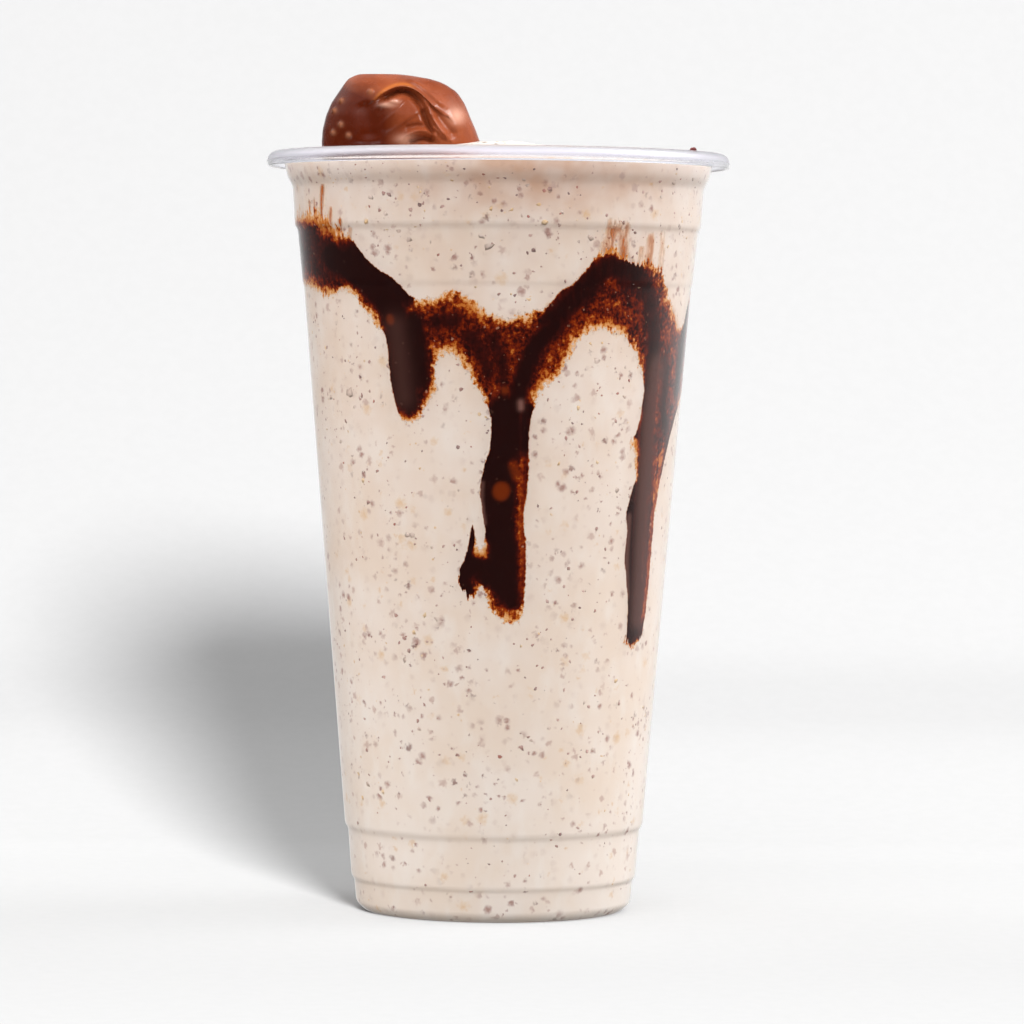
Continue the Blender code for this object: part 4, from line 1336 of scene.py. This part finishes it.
@dataclass
class Bonbon:
    """The chocolate chunk: level sections in mm, folds of its coating on the shown face and nut bumps.

    A section is (height, left, right, half depth) and a painted highlight (x, z, half width, half height).
    """

    sections: tuple[tuple[float, float, float, float], ...] = (
        (151.2, -31, -9, 6), (152.2, -33.6, -6.2, 8.6), (154.6, -35.6, -4, 10.4),
        (157.4, -36.4, -3.5, 11.2), (160.4, -36.2, -4.6, 11.2), (163.4, -35.5, -5.9, 10.6),
        (166, -34.4, -7, 9.6), (168.4, -32.8, -8.6, 8), (170.2, -31.6, -11.4, 6.2),
        (171.3, -30.6, -15, 4.4), (171.9, -28.8, -20, 2.4),
    )
    squareness: float = 2.5
    ring_sides: int = 72
    levels: int = 34
    voxel: float = 0.26
    nut_bumps: tuple[Place, ...] = (
        (-32.2, 166.2), (-33.6, 164.2), (-32.2, 161.2), (-33.8, 159.6), (-30.6, 159), (-26.2, 168),
    )
    nut_radius: float = 0.62
    nut_sink: float = 0.12
    # Painted highlights: pale spots where the chocolate catches the light.
    painted_highlights: tuple[tuple[float, float, float, float], ...] = (
        (-18.9, 158.2, 1.9, 1.0), (-22.6, 165.2, 1.5, 0.5), (-21.2, 165.9, 0.9, 0.45),
        (-8.6, 163.2, 1.6, 1.7),
    )
    arch: tuple[Place, ...] = (
        (-25.4, 166.4), (-23.6, 168.1), (-21.5, 169.3), (-19.3, 169.6), (-17, 168.8), (-15, 167.2),
        (-13, 165.2), (-11, 163.4),
    )
    under_arch: tuple[Place, ...] = (
        (-24.4, 166.1), (-22.8, 167.1), (-20.6, 168.1), (-18.6, 168), (-16.8, 166.7), (-15.2, 164.6),
    )
    long_fold: tuple[Place, ...] = (
        (-19.8, 171.8), (-18.4, 170.8), (-16, 169.4), (-13.4, 167.2), (-10.8, 165),
    )
    right_fold: tuple[Place, ...] = (
        (-15.2, 166.1), (-14.2, 164), (-12.9, 161.6), (-11.6, 159.8), (-10.2, 158.2),
    )
    lower_lip: tuple[Place, ...] = (
        (-19.8, 158.1), (-18, 159.3), (-15.6, 159.9), (-13.6, 159.4), (-12.2, 158.1),
    )

    def reliefs(self) -> list[Relief]:
        """Returns the folds and grooves, in the order in which they are pushed out and in."""
        return [
            Relief(((-21.4, 164.4), (-20, 163), (-18.8, 161.4)), 0.9, 3.2, 3.0),
            Relief(self.arch, 1.3, 1.7, 0.35, 0.5),
            Relief(self.under_arch, -2.0, 0.55, 0.9),
            Relief(((-24.8, 164.8), (-22.6, 165.8), (-20.6, 166.7)), 0.7, 0.45, 0.8),
            Relief(self.long_fold, 0.75, 0.5, 0.6),
            Relief(self.right_fold, 1.2, 0.9, 0.26),
            Relief(((-15.6, 164.8), (-14.7, 162.2), (-13.8, 160.2), (-13.2, 158.8)), -1.6, 0.4, 0.6),
            Relief(((-13.4, 160.8), (-12.4, 160), (-11.4, 158.9)), 0.7, 0.25, 0.3),
            Relief(self.lower_lip, 1.2, 0.5, 0.35),
            Relief(((-19.2, 160.4), (-17, 161), (-15, 160.9)), -0.6, 0.5, 0.5),
            Relief(((-18.4, 157.6), (-15.5, 158.6), (-13, 157.8)), -1.4, 0.6, 0.6),
            Relief(((-31, 170.2), (-27, 169.6), (-24, 169.4)), 0.35, 0.7, 0.9),
            Relief(((-9.4, 168.4), (-9.2, 165), (-8, 160)), 0.6, 1.9, 2.2),
            Relief(((-13.2, 163.6), (-11.2, 161.2), (-8.8, 158.8)), -0.6, 0.9, 1.0),
            Relief(((-28.2, 166), (-26.6, 163), (-26, 158)), -0.8, 1.7, 1.9),
        ]

    def section(self, height: float) -> tuple[float, float, float]:
        """Returns the centre in X, half width and half depth at a height, in mm."""
        heights, lefts, rights, depths = np.array(self.sections).T
        left, right, depth = (float(np.interp(height, heights, values)) for values in (lefts, rights, depths))
        return (left + right) / 2, (right - left) / 2, depth

    def front(self, x: float, z: float, sink: float) -> Vector:
        """Returns the point this far under the shown face at (x, z), all in mm."""
        centre, half_width, depth = self.section(z)
        across = min(1.0, abs(x - centre) / half_width)
        return Vector((x, -depth * (1 - across**self.squareness) ** (1 / self.squareness) + sink, z))

    def body(self) -> bpy.types.Object:
        """Returns the chunk without its folds: a ring extruded up from section to section."""
        bottom, top = self.sections[0][0], self.sections[-1][0]
        levels = [bottom, *np.linspace(bottom + 0.5, top - 0.3, self.levels), top]
        bpy.ops.object.select_all(action="DESELECT")
        bpy.ops.mesh.primitive_circle_add(
            vertices=self.ring_sides, radius=1, fill_type="NGON", enter_editmode=True,
            location=(0, 0, levels[0]),
        )
        for lower, upper in zip(levels, levels[1:]):
            bpy.ops.mesh.extrude_region_move(TRANSFORM_OT_translate={"value": (0, 0, upper - lower)})
        bpy.ops.mesh.select_all(action="SELECT")
        bpy.ops.mesh.normals_make_consistent(inside=False)
        bpy.ops.object.mode_set(mode="OBJECT")
        bpy.ops.object.transform_apply(location=True, rotation=True, scale=True)
        piece = name_active("bonbon_chunk")
        points = points_of(piece)
        for point in points:
            turn = math.atan2(point[1], point[0])
            centre, half_width, depth = self.section(point[2])
            across, deep = (
                math.copysign(abs(value) ** (2 / self.squareness), value)
                for value in (math.cos(turn), math.sin(turn))
            )
            point[:] = (centre + half_width * across, depth * deep, point[2])
        move_points(piece, points * MM)
        return piece

    def mark(self, x: np.ndarray, z: np.ndarray, relief: Relief) -> np.ndarray:
        """Returns how strongly a fold or groove lies at places of the shown face.

        Args:
            x: The places' X in mm.
            z: Their heights in mm.
            relief: The fold or groove.
        """
        path = smooth_path(relief.places, 0.5)
        reach = 2.6 * max(relief.left_width, relief.right_width)
        low, high = path.min(axis=0) - reach, path.max(axis=0) + reach
        near = np.flatnonzero((x > low[0]) & (x < high[0]) & (z > low[1]) & (z < high[1]))
        best, side, along = np.full(len(near), np.inf), np.zeros(len(near)), np.zeros(len(near))
        for number, (start, end) in enumerate(zip(path, path[1:])):
            step = end - start
            projected = (x[near] - start[0]) * step[0] + (z[near] - start[1]) * step[1]
            share = np.clip(projected / (step @ step), 0, 1)
            off_x, off_z = x[near] - start[0] - share * step[0], z[near] - start[1] - share * step[1]
            distance = np.hypot(off_x, off_z)
            closer = distance < best
            best = np.where(closer, distance, best)
            side = np.where(closer, step[0] * off_z - step[1] * off_x, side)
            along = np.where(closer, (number + share) / (len(path) - 1), along)
        width = np.where(side > 0, relief.left_width, relief.right_width)
        taper = np.clip(np.minimum(along, 1 - along) * relief.taper + 0.25, 0, 1)
        amount = np.zeros(len(x))
        amount[near] = np.exp(-((best / width) ** 2)) * taper
        return amount

    def fold_coating(self, piece: bpy.types.Object) -> None:
        """Pushes the shown face out and in where its coating is folded, and marks its painted shade, painted
        highlights and paler nut bumps.
        """
        flat = np.empty(len(piece.data.vertices) * 3, np.float32)
        piece.data.vertex_normals.foreach_get("vector", flat)
        facing = np.clip((-flat.reshape(-1, 3)[:, 1] - 0.05) / 0.35, 0, 1)
        points = points_of(piece) / MM
        x, z = points[:, 0], points[:, 2]
        for relief in self.reliefs():
            amount = self.mark(x, z, relief) * facing
            points[:, 1] -= relief.height * amount
            points[:, 2] -= relief.droop * amount
        move_points(piece, points * MM)
        # Painted shade: the left side, below a slanting line, is darkened.
        left = np.clip((-19.5 - x) / 4, 0, 1)
        below = np.clip((167.5 - 0.45 * (x + 24) - z) / 2.5, 0, 1)
        store_values(piece, "painted_left_shade", left * below)
        # Painted highlights at the listed places.
        highlight_strength = np.zeros(len(x))
        for middle_x, middle_z, half_width, half_height in self.painted_highlights:
            off = ((x - middle_x) / half_width) ** 2 + ((z - middle_z) / half_height) ** 2
            highlight_strength = np.maximum(highlight_strength, np.exp(-off))
        store_values(piece, "painted_highlight", highlight_strength * facing)
        nuts = np.zeros(len(x))
        for nut_x, nut_z in self.nut_bumps:
            nuts = np.maximum(nuts, np.exp(-(((x - nut_x) ** 2 + (z - nut_z) ** 2) / 0.3)))
        store_values(piece, "nut", nuts * facing)
        # Painted highlight: orange along the crest of the arch.
        thin_syrup_and_lit_crest = Relief(self.arch[:5], 0, 0.35, 0.4)
        store_values(piece, "crest_highlight", self.mark(x, z, thin_syrup_and_lit_crest) * facing)

    def build(self) -> bpy.types.Object:
        """Returns the bonbon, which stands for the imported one."""
        piece = self.body()
        bumps = []
        for x, z in self.nut_bumps:
            bpy.ops.object.select_all(action="DESELECT")
            place = self.front(x, z, self.nut_sink) * MM
            bpy.ops.mesh.primitive_ico_sphere_add(subdivisions=2, radius=self.nut_radius * MM, location=place)
            bumps.append(bpy.context.view_layer.objects.active)
        select_only(piece)
        for bump in bumps:
            bump.select_set(True)
        bpy.ops.object.join()
        apply_modifier(piece, "REMESH", mode="VOXEL", voxel_size=self.voxel * MM)
        apply_modifier(piece, "SMOOTH", factor=0.5, iterations=3)
        self.fold_coating(piece)
        apply_modifier(piece, "SMOOTH", factor=0.4, iterations=1)
        piece.name = "bonbon"
        piece.data.name = "bonbon"
        smooth_shade(piece, 180)
        piece.data.materials.append(ChocolateFinish().make())
        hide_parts("chocolate_bonbon")
        return piece


@dataclass
class RimCrumb:
    """A tiny dark red crumb on the rim, its place and size in mm."""

    place: tuple[float, float, float] = (39.2, -22.6, 156.1)
    size: tuple[float, float, float] = (1.25, 0.8, 0.9)

    def build(self) -> bpy.types.Object:
        """Returns the crumb."""
        bpy.ops.object.select_all(action="DESELECT")
        bpy.ops.mesh.primitive_ico_sphere_add(
            subdivisions=3, radius=0.5, enter_editmode=True, location=(0, 0, 0),
        )
        bpy.ops.transform.vertex_random(offset=0.09, uniform=0.3, normal=0.4, seed=3)
        bpy.ops.transform.resize(value=tuple(size * MM for size in self.size), center_override=(0, 0, 0))
        bpy.ops.transform.translate(value=tuple(value * MM for value in self.place))
        bpy.ops.object.mode_set(mode="OBJECT")
        piece = name_active("rim_crumb")
        finish = CrumbFinish("red_rim_crumb", linear(96, 28, 30), linear(128, 52, 50), 0.45)
        piece.data.materials.append(finish.make())
        smooth_shade(piece, 50)
        return piece


@dataclass(frozen=True)
class Glow:
    """A soft bright part of the room: azimuth and elevation, half widths in degrees, and radiance."""

    azimuth: float
    elevation: float
    half_width: float
    half_height: float
    radiance: float


@dataclass(frozen=True)
class Spot:
    """A small soft light for the bonbon, in degrees and metres, which gives only its shine unless said."""

    azimuth: float
    elevation: float
    distance: float
    width: float
    height: float
    radiance: float
    shine_only: bool = True


@dataclass
class Studio:
    """A pale sweep, a soft room and the camera of the photograph. Lengths are in metres, angles in degrees.

    Azimuths are counted round the object from the camera's side, positive towards +X.
    """

    camera_distance: float = 1.051
    camera_height: float = 0.1161
    lens: float = 36 * 5100 / 1024
    pitch: float = 1.853
    yaw: float = 0.181
    roll: float = 0.42
    sweep_start: float = 0.09
    sweep_radius: float = 0.46
    sweep_width: float = 1.5
    sweep_height: float = 1.0
    floor_front: float = 1.0
    key_azimuth: float = 11.4
    key_elevation: float = 22.5
    key_distance: float = 4.0
    key_target: float = 0.05
    key_width: float = 0.8
    key_level: float = 4.6
    room_level: float = 1.7
    paper_level: float = 0.925
    rise_gain: float = 0.24
    front_gain: float = 0.925
    near_gain: float = 1.045
    horizon_dip: float = 0.085
    horizon_height: float = 0.027
    horizon_width: float = 0.008
    tone_count: int = 32
    ambient: float = 0.045
    glows: tuple[Glow, ...] = (
        Glow(-6, 52, 46, 22, 4.35),
        Glow(98, 46, 30, 24, 6.4),
        Glow(-106, 46, 50, 24, 3.5),
        Glow(135, 0, 36, 20, 0.9),
        Glow(-175, 0, 30, 20, 0.6),
    )
    spots: tuple[Spot, ...] = (
        Spot(66, 40, 0.7, 0.27, 0.27, 10.0, shine_only=False),
        Spot(62, 36, 0.7, 0.24, 0.24, 55.0),
        Spot(-26, -12, 0.35, 0.05, 0.04, 80.0),
        Spot(-20, 74, 0.5, 0.1, 0.06, 80.0),
    )

    def add_camera(self) -> None:
        """Puts the camera in front of the tumbler, turned as in the photograph."""
        camera = bpy.data.cameras.new("photo_camera")
        camera.sensor_width = 36
        camera.lens = self.lens
        camera.clip_start = 0.05
        camera.clip_end = 20
        holder = bpy.data.objects.new("photo_camera", camera)
        bpy.context.scene.collection.objects.link(holder)
        turned = Matrix.Rotation(math.radians(-self.yaw), 4, "Z")
        turned = turned @ Matrix.Rotation(math.radians(90 - self.pitch), 4, "X")
        turned = turned @ Matrix.Rotation(math.radians(self.roll), 4, "Z")
        holder.matrix_world = Matrix.Translation((0, -self.camera_distance, self.camera_height)) @ turned
        bpy.context.scene.camera = holder

    def add_sweep(self) -> bpy.types.Object:
        """Returns the floor that curves up behind the object, seen only from its front."""
        bpy.ops.object.select_all(action="DESELECT")
        bpy.ops.mesh.primitive_plane_add(size=1, enter_editmode=True, location=(0, 0, 0))
        length = self.floor_front + self.sweep_start
        bpy.ops.transform.resize(value=(self.sweep_width, length, 1))
        bpy.ops.transform.translate(value=(0, self.sweep_start - length / 2, 0))
        bpy.ops.mesh.select_all(action="DESELECT")
        bpy.ops.object.mode_set(mode="OBJECT")
        piece = name_active("sweep")
        for vertex in piece.data.vertices:
            vertex.select = vertex.co.y > self.sweep_start - 1e-4
        for edge in piece.data.edges:
            edge.select = all(piece.data.vertices[index].select for index in edge.vertices)
        bpy.ops.object.mode_set(mode="EDIT")
        turns = np.radians(np.linspace(0, 90, 49))
        for here, there in zip(turns, turns[1:]):
            step_back = self.sweep_radius * (math.sin(there) - math.sin(here))
            step_up = self.sweep_radius * (math.cos(here) - math.cos(there))
            bpy.ops.mesh.extrude_region_move(TRANSFORM_OT_translate={"value": (0, step_back, step_up)})
        bpy.ops.mesh.extrude_region_move(TRANSFORM_OT_translate={"value": (0, 0, self.sweep_height)})
        bpy.ops.mesh.select_all(action="SELECT")
        bpy.ops.mesh.normals_make_consistent(inside=False)
        bpy.ops.object.mode_set(mode="OBJECT")
        if piece.data.polygons[0].normal.z < 0:
            piece.data.flip_normals()
        smooth_shade(piece, 60)
        piece.data.materials.append(self.paper())
        piece.visible_glossy = False
        return piece

    def paper_tone(self, height: float) -> float:
        """Returns how pale the paper is at a height, so that it looks evenly lit where it curves up, less a
        painted band of shade at the horizon.
        """
        rise = math.radians(self.key_elevation)
        flat = max(0.0, 1 - height / self.sweep_radius)
        steep = math.sqrt(1 - flat**2)
        facing = math.cos(rise) * math.cos(math.radians(self.key_azimuth)) * steep + math.sin(rise) * flat
        # Painted shade: a soft darker band across the paper at the horizon height.
        dip = self.horizon_dip * math.exp(-(((height - self.horizon_height) / self.horizon_width) ** 2))
        gain = 1 + self.rise_gain * steep - dip
        return self.paper_level * gain / (self.room_level + self.key_level * facing)

    def paper(self) -> bpy.types.Material:
        """Returns the sweep's matt paper, which is clear from behind."""
        material, graph, shader = new_material("studio_paper")
        parts = graph.add("SeparateXYZ", {0: graph.object_place()}).outputs
        share = graph.math("DIVIDE", parts["Z"], self.sweep_radius, clamp=True)
        places = (np.linspace(0, 1, self.tone_count) ** 2).tolist()
        tones = [(place, (self.paper_tone(place * self.sweep_radius),) * 3) for place in places]
        fibre = graph.span(graph.grain(graph.object_place(), 300, 2), 0.3, 0.7, 0.985, 1.0)
        gain = graph.span(parts["Y"], -0.115, 0.03, self.front_gain, self.near_gain)
        tone = graph.vector("SCALE", graph.ramp(share, tones), graph.times(fibre, gain))
        graph.feed(shader, {"Base Color": tone, "Roughness": 0.9, "Specular IOR Level": 0.0})
        clear_where(graph, shader, graph.add("NewGeometry").outputs["Backfacing"])
        return material

    def hang(
        self, light: bpy.types.Light, centre: Vector, azimuth: float, elevation: float, distance: float,
    ) -> bpy.types.Object:
        """Hangs a light so that it faces a point.

        Args:
            light: The light.
            centre: The point.
            azimuth: Its direction round the point.
            elevation: Its height above the point, as an angle.
            distance: How far it is from the point.

        Returns:
            The object that holds the light.
        """
        holder = bpy.data.objects.new(light.name, light)
        bpy.context.scene.collection.objects.link(holder)
        turn, rise = math.radians(azimuth), math.radians(elevation)
        away = Vector((math.cos(rise) * math.sin(turn), -math.cos(rise) * math.cos(turn), math.sin(rise)))
        holder.location = centre + distance * away
        holder.rotation_euler = away.to_track_quat("Z", "Y").to_euler()
        return holder

    def add_key(self, sweep: bpy.types.Object) -> None:
        """Adds the low soft light that lights the sweep and throws the object's shadow on it."""
        light = bpy.data.lights.new("key", "AREA")
        light.shape = "DISK"
        light.size = self.key_width
        light.energy = self.key_level * math.pi**2 * self.key_distance**2
        centre = Vector((0, 0, self.key_target))
        holder = self.hang(light, centre, self.key_azimuth, self.key_elevation, self.key_distance)
        lit = bpy.data.collections.new("lit_by_key")
        lit.objects.link(sweep)
        holder.light_linking.receiver_collection = lit

    def add_spots(self, target: bpy.types.Object) -> None:
        """Adds the small lights that only the bonbon receives."""
        corners = [Vector(corner) for corner in target.bound_box]
        centre = sum(corners, Vector()) / len(corners)
        lit = bpy.data.collections.new("lit_by_spots")
        lit.objects.link(target)
        for number, spot in enumerate(self.spots):
            light = bpy.data.lights.new(f"spot_{number}", "AREA")
            light.shape = "RECTANGLE"
            light.size = spot.width
            light.size_y = spot.height
            light.energy = spot.radiance * math.pi * spot.width * spot.height
            holder = self.hang(light, centre, spot.azimuth, spot.elevation, spot.distance)
            holder.visible_camera = False
            holder.visible_diffuse = not spot.shine_only
            holder.light_linking.receiver_collection = lit

    def add_world(self) -> None:
        """Sets the room's light: an even part and its glows, with white paper wherever the camera sees it."""
        world = bpy.data.worlds.new("room")
        world.use_nodes = True
        bpy.context.scene.world = world
        graph = Graph(world.node_tree)
        direction = graph.add("TexCoord").outputs["Generated"]
        parts = graph.add("SeparateXYZ", {0: direction}).outputs
        level = graph.add("CombineXYZ", {"X": parts["X"], "Y": parts["Y"]}).outputs[0]
        level = graph.add("VectorMath", {0: level}, operation="NORMALIZE").outputs[0]
        elevation = graph.math("ARCSINE", parts["Z"])
        rows: dict[tuple[float, float], list[Glow]] = {}
        for glow in self.glows:
            rows.setdefault((glow.elevation, glow.half_height), []).append(glow)
        total = self.ambient
        for (rise, half_height), glows in rows.items():
            off = graph.math("MULTIPLY_ADD", elevation, 1 / math.radians(half_height), -rise / half_height)
            fall = graph.math("EXPONENT", graph.times(off, off, -1.0))
            sideways = 0.0
            for glow in glows:
                turn, narrow = math.radians(glow.azimuth), 2 / math.radians(glow.half_width) ** 2
                axis = (math.sin(turn), -math.cos(turn), 0)
                product = graph.add("VectorMath", {0: level, 1: axis}, operation="DOT_PRODUCT")
                across = product.outputs["Value"]
                lobe = graph.math("EXPONENT", graph.math("MULTIPLY_ADD", across, narrow, -narrow))
                sideways = graph.math("MULTIPLY_ADD", lobe, glow.radiance, sideways)
            total = graph.math("MULTIPLY_ADD", fall, sideways, total)
        seen = graph.add("LightPath").outputs["Is Camera Ray"]
        kept = graph.times(total, graph.minus(1.0, seen))
        strength = graph.plus(kept, graph.times(seen, self.paper_level))
        graph.feed(world.node_tree.nodes["Background"], {"Color": (1, 1, 1), "Strength": strength})

    def build(self) -> None:
        """Adds the camera, the sweep and the lights."""
        self.add_camera()
        sweep = self.add_sweep()
        self.add_world()
        self.add_key(sweep)
        bpy.context.scene.view_settings.view_transform = "Standard"


def main() -> None:
    """Builds the pieces in order and reports each one."""
    logging.basicConfig(level=logging.INFO, format="%(name)s: %(message)s")
    studio = Studio()
    studio.build()
    wall = TumblerWall()
    drink = Drink(wall)
    bonbon = Bonbon().build()
    studio.add_spots(bonbon)
    made = [wall.build(), drink.build(), SyrupFilm(wall).build(), bonbon, RimCrumb().build()]
    made += Specks(wall, drink).build()
    for piece in made:
        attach(piece, "root")
        LOG.info("%s has %d faces", piece.name, len(piece.data.polygons))


if __name__ == "__main__":
    main()
